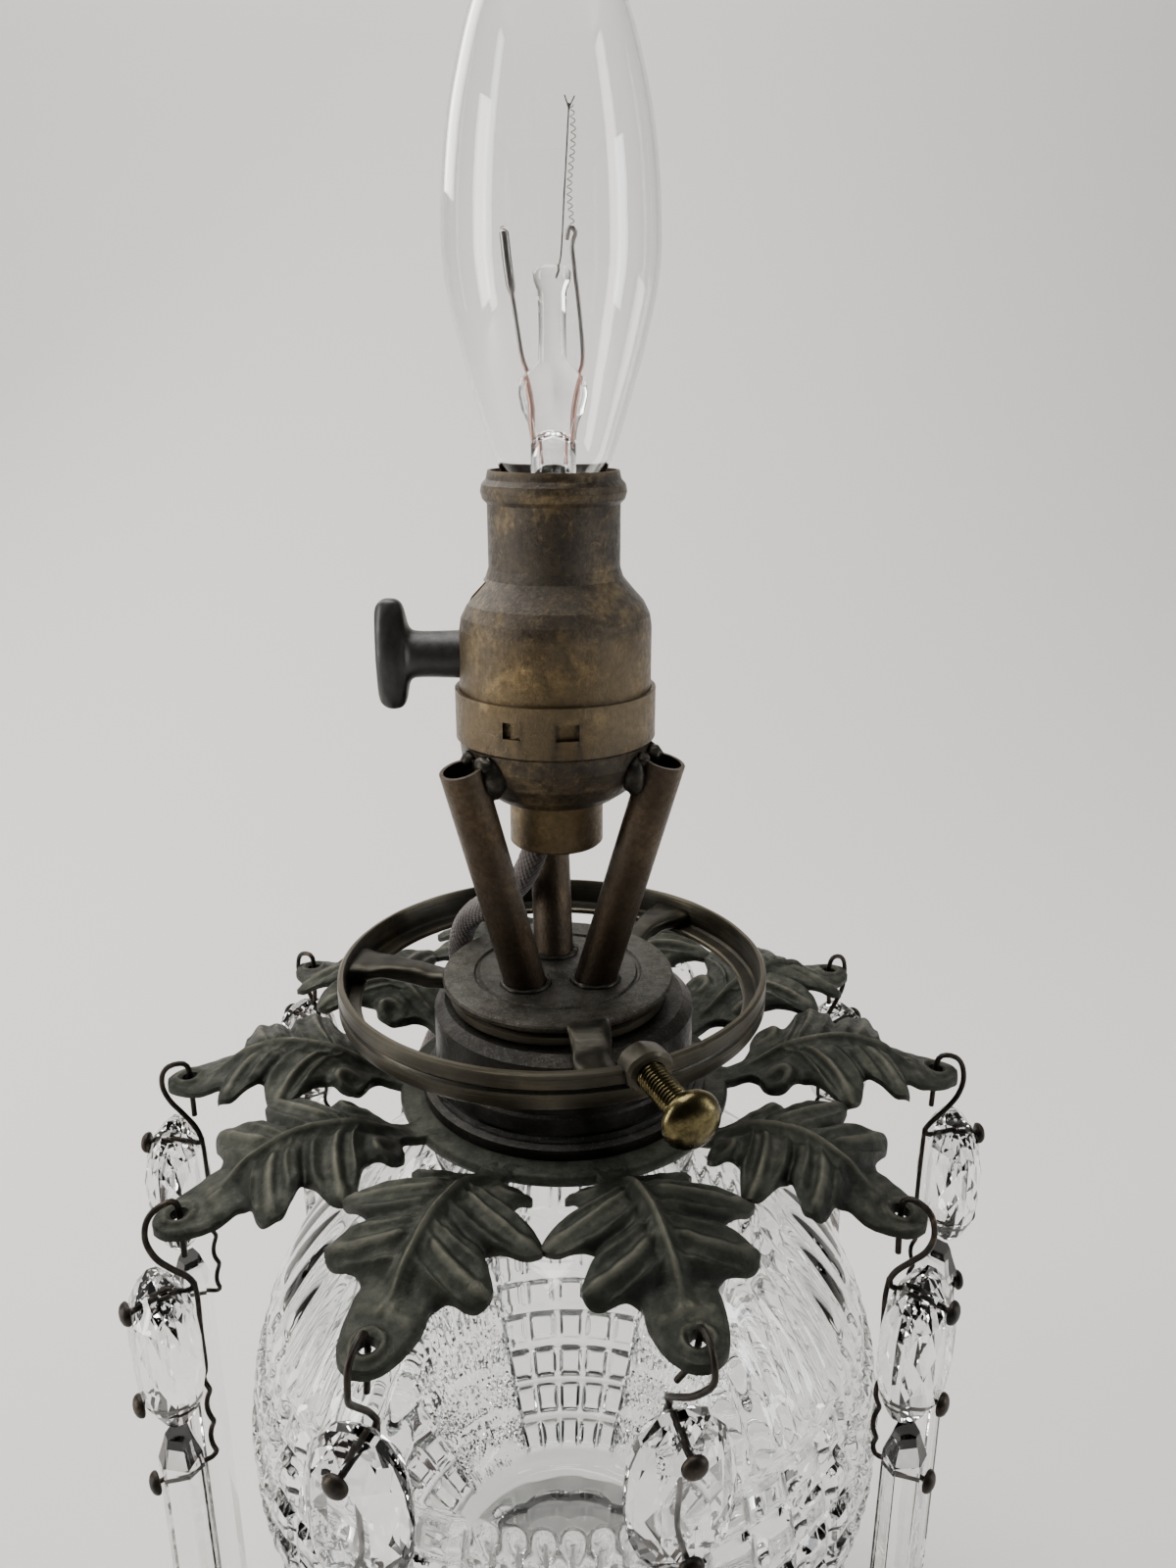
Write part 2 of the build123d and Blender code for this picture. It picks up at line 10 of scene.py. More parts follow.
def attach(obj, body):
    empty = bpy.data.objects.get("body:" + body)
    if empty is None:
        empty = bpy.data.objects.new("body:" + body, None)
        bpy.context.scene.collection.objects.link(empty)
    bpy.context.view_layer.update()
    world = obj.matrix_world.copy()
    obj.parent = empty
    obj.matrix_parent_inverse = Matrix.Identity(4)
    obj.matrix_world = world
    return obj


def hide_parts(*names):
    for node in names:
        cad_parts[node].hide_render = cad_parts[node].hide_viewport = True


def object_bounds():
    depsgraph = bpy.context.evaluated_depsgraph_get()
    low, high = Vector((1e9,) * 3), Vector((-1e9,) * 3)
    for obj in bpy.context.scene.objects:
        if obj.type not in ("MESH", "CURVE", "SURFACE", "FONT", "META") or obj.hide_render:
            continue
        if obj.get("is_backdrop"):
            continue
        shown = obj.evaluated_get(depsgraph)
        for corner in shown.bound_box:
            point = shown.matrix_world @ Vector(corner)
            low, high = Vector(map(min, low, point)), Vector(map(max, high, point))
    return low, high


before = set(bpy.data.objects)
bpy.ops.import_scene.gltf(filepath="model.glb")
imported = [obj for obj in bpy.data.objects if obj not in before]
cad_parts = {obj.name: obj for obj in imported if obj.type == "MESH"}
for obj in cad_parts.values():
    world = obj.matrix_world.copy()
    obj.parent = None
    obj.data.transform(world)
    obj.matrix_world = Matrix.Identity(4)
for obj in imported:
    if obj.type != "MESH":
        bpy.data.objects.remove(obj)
CAD_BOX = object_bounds()

MM = 0.001
UX = -1.0          # axis of socket, tripod and hub, in mm
RX = -1.9          # shade ring's centre
LEAF_AZ = [249.2, 286.5, 323.9, 2.0, 36.5, 71.5, 107.0, 141.9, 180.2, 213.7]
LEAF_TIP = [72.8, 70.0, 68.0, 72.3, 74.0, 73.0, 73.0, 74.0, 72.0, 73.0]

# ------------------------------------------------------------------ camera
cam_data = bpy.data.cameras.new("camera")
cam_data.lens, cam_data.sensor_width, cam_data.clip_start, cam_data.clip_end = 27.0, 36.0, 0.01, 50.0
cam = bpy.data.objects.new("camera", cam_data)
cam.location = (4.3 * MM, -187.0 * MM, 285.0 * MM)
cam.rotation_euler = (math.radians(72.0), 0.0, 0.0)
bpy.context.scene.collection.objects.link(cam)
bpy.context.scene.camera = cam


# ----------------------------------------------------------------- helpers
def link(name, mesh, mat=None):
    o = bpy.data.objects.new(name, mesh)
    bpy.context.scene.collection.objects.link(o)
    if mat is not None:
        mesh.materials.clear()
        mesh.materials.append(mat)
    return o


def make_mesh(name, verts, faces, smooth=True, angle=38.0):
    m = bpy.data.meshes.new(name)
    m.from_pydata([tuple(v) for v in verts], [], [tuple(f) for f in faces])
    m.validate()
    bm = bmesh.new()
    bm.from_mesh(m)
    bmesh.ops.remove_doubles(bm, verts=bm.verts, dist=1e-7)
    bmesh.ops.recalc_face_normals(bm, faces=bm.faces)
    bm.to_mesh(m)
    bm.free()
    if smooth:
        m.shade_smooth()
        m.set_sharp_from_angle(angle=math.radians(angle))
    else:
        m.shade_flat()
    m.update()
    return m


def lathe(profile, x=0.0, y=0.0, n=128, closed=True, shape=None):
    """verts, faces of a turned solid from (radius, height) in mm. shape(r, z, a) may move a point."""
    verts, faces, rows = [], [], []
    for r, z in profile:
        if r < 1e-6:
            rows.append([len(verts)] * n)
            verts.append((x * MM, y * MM, z * MM))
        else:
            row = []
            for k in range(n):
                a = 2 * math.pi * k / n
                rr, zz = (r, z) if shape is None else shape(r, z, a)
                row.append(len(verts))
                verts.append(((x + rr * math.cos(a)) * MM, (y + rr * math.sin(a)) * MM, zz * MM))
            rows.append(row)
    m = len(rows)
    for i in range(m if closed else m - 1):
        a, b = rows[i], rows[(i + 1) % m]
        for k in range(n):
            q = [a[k], a[(k + 1) % n], b[(k + 1) % n], b[k]]
            q = [v for j, v in enumerate(q) if v not in q[:j]]
            if len(q) > 2:
                faces.append(q)
    return verts, faces


def smooth_line(points, step):
    """Catmull-Rom line through points (mm), about step apart."""
    P = [np.array(p, float) for p in points]
    P = [2 * P[0] - P[1]] + P + [2 * P[-1] - P[-2]]
    out = []
    for i in range(1, len(P) - 2):
        a, b, c, d = P[i - 1:i + 3]
        n = max(1, int(np.linalg.norm(c - b) / step))
        for k in range(n):
            t = k / n
            out.append(0.5 * ((2 * b) + (-a + c) * t + (2 * a - 5 * b + 4 * c - d) * t * t + (-a + 3 * b - 3 * c + d) * t ** 3))
    out.append(P[-2])
    return np.array(out)


def frames_along(L):
    T = np.gradient(L, axis=0)
    T /= np.linalg.norm(T, axis=1)[:, None] + 1e-12
    up = np.array([0, 0, 1.0]) if abs(T[0][2]) < 0.9 else np.array([1.0, 0, 0])
    N = [np.cross(T[0], up)]
    N[0] /= np.linalg.norm(N[0])
    for i in range(1, len(L)):
        v = N[-1] - T[i] * (N[-1] @ T[i])
        N.append(v / (np.linalg.norm(v) + 1e-12))
    N = np.array(N)
    return T, N, np.cross(T, N)


def tube(L, r, n=14, cap=True, section=None):
    """verts, faces of a tube along L (mm). r is a number or one per point."""
    L = np.asarray(L, float)
    R = np.full(len(L), r, float) if np.isscalar(r) else np.asarray(r, float)
    T, N, B = frames_along(L)
    verts, faces = [], []
    for i in range(len(L)):
        for k in range(n):
            a = 2 * math.pi * k / n
            verts.append((L[i] + R[i] * (math.cos(a) * N[i] + math.sin(a) * B[i])) * MM)
    for i in range(len(L) - 1):
        for k in range(n):
            faces.append((i * n + k, i * n + (k + 1) % n, (i + 1) * n + (k + 1) % n, (i + 1) * n + k))
    if cap:
        for i, s in ((0, -1), (len(L) - 1, 1)):
            verts.append((L[i] + s * T[i] * R[i] * 0.35) * MM)
            c = len(verts) - 1
            for k in range(n):
                faces.append((i * n + k, i * n + (k + 1) % n, c))
    return verts, faces


class Builder:
    """Collects shells of one piece."""
    def __init__(self):
        self.v, self.f = [], []

    def add(self, vf):
        v, f = vf
        n = len(self.v)
        self.v += [tuple(p) for p in v]
        self.f += [tuple(i + n for i in q) for q in f]
        return self

    def piece(self, name, mat, body, replaces=(), slot=None, smooth=True, angle=38.0):
        m = make_mesh(name, self.v, self.f, smooth, angle)
        o = link(name, m, mat)
        return finish_piece(o, body, replaces)


def finish_piece(o, body, replaces=()):
    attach(o, body)
    if replaces:
        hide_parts(*replaces)
    return o


def disc_between(profile, axis_point, axis_dir, n=48):
    """verts, faces of a turned solid about any axis: profile of (radius, distance along axis) in mm."""
    d = np.array(axis_dir, float)
    d /= np.linalg.norm(d)
    up = np.array([0, 0, 1.0]) if abs(d[2]) < 0.9 else np.array([1.0, 0, 0])
    u = np.cross(up, d)
    u /= np.linalg.norm(u)
    w = np.cross(d, u)
    v, f = lathe(profile, n=n)
    p0 = np.array(axis_point, float)
    out = []
    for q in v:
        q = np.array(q) / MM
        out.append((p0 + u * q[0] + w * q[1] + d * q[2]) * MM)
    return out, f


def dome(r, h, n=6):
    return [(r * math.cos(math.pi / 2 * i / n), h * math.sin(math.pi / 2 * i / n)) for i in range(n + 1)]


def interp(x, pts):
    return float(np.interp(x, [p[0] for p in pts], [p[1] for p in pts]))


def subtract(mesh, cutter, tangled=False):
    ob = bpy.data.objects.new("blank", mesh)
    co = bpy.data.objects.new("cutter", cutter)
    for o in (ob, co):
        bpy.context.scene.collection.objects.link(o)
    mod = ob.modifiers.new("cut", "BOOLEAN")
    mod.object, mod.operation, mod.solver, mod.use_self = co, "DIFFERENCE", "EXACT", tangled
    bpy.context.view_layer.update()
    out = bpy.data.meshes.new_from_object(ob.evaluated_get(bpy.context.evaluated_depsgraph_get()))
    bpy.data.objects.remove(ob)
    bpy.data.objects.remove(co)
    bpy.data.meshes.remove(cutter)
    bpy.data.meshes.remove(mesh)
    return out


def smoothstep(a, b, x):
    t = min(1.0, max(0.0, (x - a) / (b - a)))
    return t * t * (3 - 2 * t)


# --------------------------------------------------------------- materials
class Mat:
    def __init__(self, name):
        self.m = bpy.data.materials.new(name)
        self.m.use_nodes = True
        self.t = self.m.node_tree
        self.b = self.t.nodes["Principled BSDF"]
        self.coord = self.t.nodes.new("ShaderNodeTexCoord")

    def set(self, **kw):
        names = {"rough": "Roughness", "metal": "Metallic", "ior": "IOR", "trans": "Transmission Weight", "coat": "Coat Weight",
                 "coat_rough": "Coat Roughness", "sheen": "Sheen Weight", "spec": "Specular IOR Level", "color": "Base Color",
                 "alpha": "Alpha"}
        for k, v in kw.items():
            s = self.b.inputs[names[k]]
            s.default_value = (*v, 1.0) if k == "color" else v
        return self

    def noise(self, scale, detail=4.0, rough=0.55, coord="Object", distortion=0.0, stretch=None):
        n = self.t.nodes.new("ShaderNodeTexNoise")
        n.inputs["Scale"].default_value = scale
        n.inputs["Detail"].default_value = detail
        n.inputs["Roughness"].default_value = rough
        n.inputs["Distortion"].default_value = distortion
        src = self.coord.outputs[coord]
        if stretch:
            mp = self.t.nodes.new("ShaderNodeMapping")
            mp.inputs["Scale"].default_value = stretch
            self.t.links.new(src, mp.inputs["Vector"])
            src = mp.outputs["Vector"]
        self.t.links.new(src, n.inputs["Vector"])
        return n.outputs["Fac"]

    def voronoi(self, scale, feature="F1"):
        n = self.t.nodes.new("ShaderNodeTexVoronoi")
        n.feature = feature
        n.inputs["Scale"].default_value = scale
        self.t.links.new(self.coord.outputs["Object"], n.inputs["Vector"])
        return n.outputs["Distance"]

    def ramp(self, fac, stops, interpolation="LINEAR"):
        n = self.t.nodes.new("ShaderNodeValToRGB")
        n.color_ramp.interpolation = interpolation
        e = n.color_ramp.elements
        e[0].position, e[0].color = stops[0][0], _c(stops[0][1])
        e[1].position, e[1].color = stops[-1][0], _c(stops[-1][1])
        for p, c in stops[1:-1]:
            k = e.new(p)
            k.color = _c(c)
        self.t.links.new(fac, n.inputs["Fac"])
        return n.outputs["Color"]

    def mix(self, fac, a, b, blend="MIX"):
        n = self.t.nodes.new("ShaderNodeMix")
        n.data_type, n.blend_type = "RGBA", blend
        for k, v in ((0, fac), (6, a), (7, b)):
            if isinstance(v, (int, float)):
                n.inputs[k].default_value = v
            elif isinstance(v, tuple):
                n.inputs[k].default_value = _c(v)
            else:
                self.t.links.new(v, n.inputs[k])
        return n.outputs[2]

    def math(self, op, a, b=0.0, clamp=False):
        n = self.t.nodes.new("ShaderNodeMath")
        n.operation, n.use_clamp = op, clamp
        for k, v in ((0, a), (1, b)):
            if isinstance(v, (int, float)):
                n.inputs[k].default_value = v
            else:
                self.t.links.new(v, n.inputs[k])
        return n.outputs[0]

    def pointiness(self):
        n = self.t.nodes.new("ShaderNodeNewGeometry")
        return n.outputs["Pointiness"]

    def up(self):
        """How far the surface faces up, 0 to 1."""
        n = self.t.nodes.new("ShaderNodeNewGeometry")
        s = self.t.nodes.new("ShaderNodeSeparateXYZ")
        self.t.links.new(n.outputs["Normal"], s.inputs[0])
        return self.math("MAXIMUM", s.outputs[2], 0.0)

    def xyz(self, coord="Object"):
        s = self.t.nodes.new("ShaderNodeSeparateXYZ")
        self.t.links.new(self.coord.outputs[coord], s.inputs[0])
        return s.outputs

    def link(self, out, name):
        self.t.links.new(out, self.b.inputs[name])
        return self

    def bump(self, height, distance, strength=1.0, normal=None):
        n = self.t.nodes.new("ShaderNodeBump")
        n.inputs["Strength"].default_value = strength
        n.inputs["Distance"].default_value = distance
        self.t.links.new(height, n.inputs["Height"])
        if normal is not None:
            self.t.links.new(normal, n.inputs["Normal"])
        self.t.links.new(n.outputs["Normal"], self.b.inputs["Normal"])
        return n.outputs["Normal"]


def _c(v):
    if isinstance(v, (int, float)):
        return (v, v, v, 1.0)
    return (*v, 1.0) if len(v) == 3 else tuple(v)


def aged_metal(name, dark, mid, worn, patch=90.0, gold=0.6, rough=(0.3, 0.62), dust=0.35, dust_color=(0.2, 0.18, 0.15), bump=0.00012,
               metal=1.0, film=0.0):
    """Old brass: a dark brown skin worn through to yellow metal, fine pits, a thin film and dust on what faces up."""
    m = Mat(name)
    big = m.noise(patch, 6.0, 0.62, distortion=0.4)
    fine = m.noise(patch * 9, 5.0, 0.7)
    skin = m.ramp(big, [(0.36, dark), (0.54, mid), (0.7, worn)])
    speck = m.ramp(fine, [(0.4, (0.22, 0.21, 0.2)), (0.58, (1, 1, 1))])
    col = m.mix(0.8, skin, speck, "MULTIPLY")
    spots = m.ramp(m.noise(patch * 4.2, 6.0, 0.72, distortion=0.6), [(0.58, 0.0), (0.68, gold * 1.2)])
    col = m.mix(spots, col, worn)
    tip = m.ramp(m.pointiness(), [(0.51, 0.0), (0.58, gold)])
    col = m.mix(tip, col, worn)
    up = m.math("MULTIPLY", m.math("POWER", m.up(), 1.5), m.ramp(m.noise(patch * 3.2, 5.0, 0.7), [(0.38, 0.0), (0.62, dust)]))
    thin = m.math("MULTIPLY", m.ramp(m.noise(patch * 0.6, 5.0, 0.65), [(0.35, 0.25), (0.65, 1.0)]), film)
    dusty = m.math("ADD", up, thin, clamp=True)
    col = m.mix(dusty, col, dust_color)
    # lint and grit that has settled on the ledges
    grit = m.math("MULTIPLY", m.ramp(m.noise(2600, 3.0, 0.6), [(0.56, 0.0), (0.66, 1.0)]), m.math("POWER", m.up(), 0.7))
    grit = m.math("MULTIPLY", grit, 0.75 * dust)
    col = m.mix(grit, col, (0.17, 0.16, 0.14))
    dusty = m.math("ADD", dusty, grit, clamp=True)
    m.link(col, "Base Color")
    m.link(m.math("SUBTRACT", metal, dusty, clamp=True), "Metallic")
    m.link(m.ramp(fine, [(0.3, rough[1]), (0.7, rough[0])]), "Roughness")
    m.bump(m.noise(patch * 14, 5.0, 0.75), bump * 1.6, 0.75)
    return m.m


def glass(name, color=(1.0, 1.0, 1.0), ior=1.5, rough=0.0, wave=None, smudge=0.0):
    m = Mat(name).set(color=color, ior=ior, trans=1.0, rough=rough)
    if smudge:
        m.link(m.ramp(m.noise(160, 5.0, 0.65), [(0.45, rough), (0.75, rough + smudge)]), "Roughness")
    if wave:
        m.bump(m.noise(wave[0], 2.0, 0.5), wave[1], 0.5)
    return m.m


M = {}
M["aged"] = aged_metal("aged_brass", (0.02, 0.014, 0.010), (0.062, 0.045, 0.027), (0.3, 0.21, 0.095), patch=100, gold=0.3, rough=(0.27, 0.5), dust=0.3,
                       dust_color=(0.075, 0.063, 0.048), film=0.42, bump=0.00016)
M["tube"] = aged_metal("tube_brass", (0.02, 0.014, 0.010), (0.045, 0.032, 0.021), (0.11, 0.074, 0.04), patch=110, gold=0.3, rough=(0.28, 0.5),
                       dust=0.2, dust_color=(0.06, 0.05, 0.04), film=0.35)
M["dull"] = aged_metal("dull_brass", (0.014, 0.013, 0.010), (0.032, 0.029, 0.022), (0.078, 0.068, 0.046), patch=75, gold=0.35,
                       rough=(0.34, 0.58), dust=0.5, dust_color=(0.05, 0.047, 0.038), film=0.3, bump=0.00018)
M["black_brass"] = aged_metal("blackened_brass", (0.006, 0.006, 0.0058), (0.013, 0.012, 0.0108), (0.038, 0.031, 0.023), patch=70, gold=0.25,
                              rough=(0.3, 0.5), dust=0.25, dust_color=(0.04, 0.038, 0.034), film=0.25)
M["yellow"] = aged_metal("yellow_brass", (0.022, 0.018, 0.010), (0.06, 0.05, 0.024), (0.2, 0.165, 0.075), patch=60, gold=0.4, rough=(0.16, 0.32),
                         dust=0.0, bump=0.00004)


def ring_material():
    m = Mat("ring_bronze")
    lines = m.noise(60, 6.0, 0.7, stretch=(0.6, 0.6, 34.0))
    big = m.noise(80, 6.0, 0.62, distortion=0.4)
    col = m.ramp(big, [(0.34, (0.014, 0.013, 0.010)), (0.55, (0.034, 0.030, 0.022)), (0.72, (0.085, 0.07, 0.043))])
    col = m.mix(0.7, col, m.ramp(lines, [(0.34, (0.35, 0.35, 0.35)), (0.62, (1, 1, 1))]), "MULTIPLY")
    tip = m.ramp(m.pointiness(), [(0.515, 0.0), (0.6, 0.5)])
    col = m.mix(tip, col, (0.17, 0.145, 0.095))
    film = m.math("MULTIPLY", m.ramp(m.noise(50, 5.0, 0.65), [(0.35, 0.2), (0.65, 1.0)]), 0.3)
    col = m.mix(film, col, (0.055, 0.052, 0.042))
    m.link(col, "Base Color")
    m.link(m.math("SUBTRACT", 1.0, film, clamp=True), "Metallic")
    m.link(m.ramp(lines, [(0.3, 0.48), (0.7, 0.28)]), "Roughness")
    m.bump(lines, 0.00012, 0.6)
    return m.m


M["ring"] = ring_material()
M["tube"].node_tree.nodes["Principled BSDF"].inputs["Specular IOR Level"].default_value = 0.4
M["bright"] = aged_metal("bright_brass", (0.3, 0.2, 0.08), (0.55, 0.4, 0.17), (0.75, 0.58, 0.28), patch=60, rough=(0.2, 0.38), dust=0.0)
M["bulb_glass"] = glass("bulb_glass", (1, 1, 1), 1.45, 0.0)
M["stem_glass"] = glass("stem_glass", (0.97, 0.98, 0.98), 1.5, 0.0)
M["cut_glass"] = glass("cut_glass", (0.965, 0.975, 0.975), 1.5, 0.005, wave=(90, 0.00006))
M["crystal"] = glass("crystal", (0.97, 0.97, 0.97), 1.62, 0.0)
M["prism_glass"] = glass("prism_glass", (0.975, 0.975, 0.965), 1.54, 0.004, wave=(60, 0.00003))
M["rubber"] = Mat("black_rubber").set(color=(0.012, 0.012, 0.013), rough=0.42).m
M["porcelain"] = Mat("porcelain").set(color=(0.72, 0.69, 0.62), rough=0.25, coat=0.3).m
M["fibre"] = Mat("fibre").set(color=(0.19, 0.12, 0.07), rough=0.85).m
M["solder"] = Mat("solder_tip").set(color=(0.45, 0.45, 0.45), rough=0.4, metal=1.0).m
M["black_glass"] = Mat("black_insulator").set(color=(0.01, 0.01, 0.012), rough=0.15).m


def leaf_material():
    m = Mat("verdigris_brass")
    big = m.noise(70, 6.0, 0.6, distortion=0.5)
    fine = m.noise(620, 5.0, 0.7)
    col = m.ramp(big, [(0.3, (0.012, 0.013, 0.010)), (0.5, (0.024, 0.027, 0.020)), (0.7, (0.042, 0.044, 0.032))])
    col = m.mix(0.6, col, m.ramp(fine, [(0.34, (0.4, 0.4, 0.4)), (0.64, (1, 1, 1))]), "MULTIPLY")
    att = m.t.nodes.new("ShaderNodeAttribute")
    att.attribute_name = "relief"
    h = att.outputs["Fac"]
    col = m.mix(m.ramp(m.math("MULTIPLY", m.math("ADD", h, 1.0), 0.5), [(0.0, 0.8), (0.38, 0.0)]), col, (0.009, 0.010, 0.008))
    # painted highlight: the raised relief is painted a lighter grey-olive where its ridges would catch the light
    ridge_highlight = m.math("MULTIPLY", m.ramp(h, [(0.22, 0.0), (0.85, 0.8)]), m.ramp(m.noise(300, 5.0, 0.65), [(0.3, 0.35), (0.62, 1.0)]))
    col = m.mix(ridge_highlight, col, (0.112, 0.108, 0.082))
    dusty = m.math("MULTIPLY", m.math("POWER", m.up(), 2.0), m.ramp(m.noise(230, 6.0, 0.7), [(0.45, 0.0), (0.7, 0.3)]))
    col = m.mix(dusty, col, (0.1, 0.1, 0.075))
    m.link(col, "Base Color")
    m.link(m.math("SUBTRACT", 0.75, dusty, clamp=True), "Metallic")
    m.link(m.ramp(fine, [(0.3, 0.62), (0.7, 0.4)]), "Roughness")
    m.bump(m.noise(700, 6.0, 0.78), 0.0003, 0.85)
    return m.m


M["leaf"] = leaf_material()


def wire_material():
    m = Mat("dark_wire").set(metal=0.85, rough=0.45)
    m.link(m.ramp(m.noise(500, 4.0, 0.6), [(0.35, (0.012, 0.011, 0.010)), (0.6, (0.035, 0.028, 0.022)), (0.78, (0.12, 0.085, 0.05))]),
           "Base Color")
    m.bump(m.noise(1800, 3.0, 0.6), 0.00008, 0.5)
    return m.m


M["wire"] = wire_material()


def cloth_material():
    m = Mat("cord_cloth").set(rough=0.9, sheen=0.35)
    uv = m.xyz("UV")
    a = m.math("SINE", m.math("MULTIPLY", m.math("ADD", m.math("MULTIPLY", uv[0], 1.0), m.math("MULTIPLY", uv[1], 2.0)), 6.2832))
    b = m.math("SINE", m.math("MULTIPLY", m.math("SUBTRACT", m.math("MULTIPLY", uv[0], 1.0), m.math("MULTIPLY", uv[1], 2.0)), 6.2832))
    weave = m.math("MULTIPLY", m.math("ADD", m.math("ABSOLUTE", a), m.math("ABSOLUTE", b)), 0.5)
    base = m.ramp(m.noise(160, 5.0, 0.6), [(0.35, (0.055, 0.042, 0.038)), (0.6, (0.11, 0.088, 0.081)), (0.75, (0.17, 0.145, 0.136))])
    m.link(m.mix(m.ramp(weave, [(0.15, 0.65), (0.7, 0.0)]), base, (0.026, 0.02, 0.019)), "Base Color")
    m.bump(weave, 0.00025, 0.8)
    return m.m


M["cloth"] = cloth_material()


def rubber_material():
    m = Mat("old_rubber").set(spec=0.4)
    n = m.noise(260, 5.0, 0.6)
    col = m.ramp(n, [(0.35, (0.008, 0.008, 0.009)), (0.65, (0.022, 0.021, 0.021))])
    dusty = m.math("MULTIPLY", m.up(), m.ramp(m.noise(700, 4.0, 0.7), [(0.4, 0.0), (0.7, 0.45)]))
    m.link(m.mix(dusty, col, (0.12, 0.11, 0.1)), "Base Color")
    m.link(m.ramp(n, [(0.3, 0.5), (0.7, 0.34)]), "Roughness")
    m.bump(m.noise(1200, 3.0, 0.6), 0.00008, 0.4)
    return m.m


M["rubber"] = rubber_material()


def plastic_material(name, dark, light):
    m = Mat(name).set(spec=0.45)
    m.link(m.ramp(m.noise(120, 5.0, 0.6), [(0.35, dark), (0.65, light)]), "Base Color")
    m.link(m.ramp(m.noise(300, 3.0, 0.6), [(0.3, 0.38), (0.7, 0.55)]), "Roughness")
    m.bump(m.noise(900, 3.0, 0.6), 0.00006, 0.35)
    return m.m


M["plug"] = plastic_material("brown_plug", (0.035, 0.02, 0.013), (0.06, 0.036, 0.024))
M["tie"] = plastic_material("tie", (0.02, 0.02, 0.02), (0.04, 0.04, 0.04))

# -------------------------------------------------------------------- cord
ROUTE = [(-4.0, 1.0, 214.4), (-6.4, 3.6, 205.8), (-11.7, 9.2, 199.4), (-18.0, 15.8, 193.6), (-20.8, 19.6, 185.4),
         (-20.6, 26.4, 175.5), (-24.6, 33.8, 164.0), (-31.0, 42.5, 148.0), (-38.0, 51.5, 126.0),
         (-40.8, 55.0, 98.0), (-41.6, 55.6, 68.0), (-41.2, 54.6, 40.0), (-44.6, 51.6, 18.0),
         (-53.0, 44.0, 4.2), (-65.0, 29.0, 2.45), (-76.0, 7.0, 2.5), (-85.5, -18.0, 2.6), (-90.8, -42.2, 3.0)]
TAIL = [(-44.5, -86.4, 2.6), (-36.4, -83.2, 3.4), (-28.2, -79.0, 6.6), (-20.0, -74.5, 7.2)]
COIL = (-58.5, -56.5)
ra, rb, rc = 21.5, 26.2, 30.9
SLOTS = [(rc, 7.3), (rc, 12.0), (rb, 12.0), (ra, 12.0), (ra, 7.25), (ra, 2.5), (rb, 2.5), (rb, 7.25), (rc, 2.5)]


def coil_points():
    out = []
    start, end = 180.0, 360.0 * 8 + 270.0
    a = start
    while a <= end + 1e-6:
        k = int((a - 125.0) // 360.0)
        into = (a - 125.0) - 360.0 * k
        f = smoothstep(-30.0, 30.0, into) if into < 30 else smoothstep(330.0, 390.0, into)
        if into < 30:
            p, q = SLOTS[max(k - 1, 0)], SLOTS[min(k, 8)]
        else:
            p, q = SLOTS[min(k, 8)], SLOTS[min(k + 1, 8)]
        r, z = p[0] + (q[0] - p[0]) * f, p[1] + (q[1] - p[1]) * f
        r += 0.18 * math.sin(a * 0.031 + 1.3)
        if a < 262:
            s = smoothstep(165, 258, a)
            r, z = 35.2 + (r - 35.2) * s, 3.6 + (z - 3.6) * s
        t = math.radians(a)
        grow = 1.0 / math.cos(math.radians(10.0)) ** 0.5
        out.append((COIL[0] + r * grow * math.cos(t), COIL[1] + r * grow * math.sin(t), z))
        a += 20.0
    return out


CORD_POINTS = ROUTE + coil_points() + TAIL
curve = bpy.data.curves.new("cord_line", "CURVE")
curve.dimensions = "3D"
curve.resolution_u = 10
spline = curve.splines.new("NURBS")
spline.points.add(len(CORD_POINTS) - 1)
for p, q in zip(spline.points, CORD_POINTS):
    p.co = (q[0] * MM, q[1] * MM, q[2] * MM, 1.0)
spline.order_u = 3
spline.use_endpoint_u = True
line_ob = bpy.data.objects.new("cord_line", curve)
bpy.context.scene.collection.objects.link(line_ob)
bpy.context.view_layer.update()
line_mesh = bpy.data.meshes.new_from_object(line_ob.evaluated_get(bpy.context.evaluated_depsgraph_get()))
LINE = np.array([tuple(v.co) for v in line_mesh.vertices])
bpy.data.objects.remove(line_ob)
bpy.data.meshes.remove(line_mesh)


def resample(P, step):
    d = np.concatenate([[0], np.cumsum(np.linalg.norm(np.diff(P, axis=0), axis=1))])
    n = max(2, int(d[-1] / step))
    t = np.linspace(0, d[-1], n + 1)
    return np.stack([np.interp(t, d, P[:, k]) for k in range(3)], axis=1), d[-1]


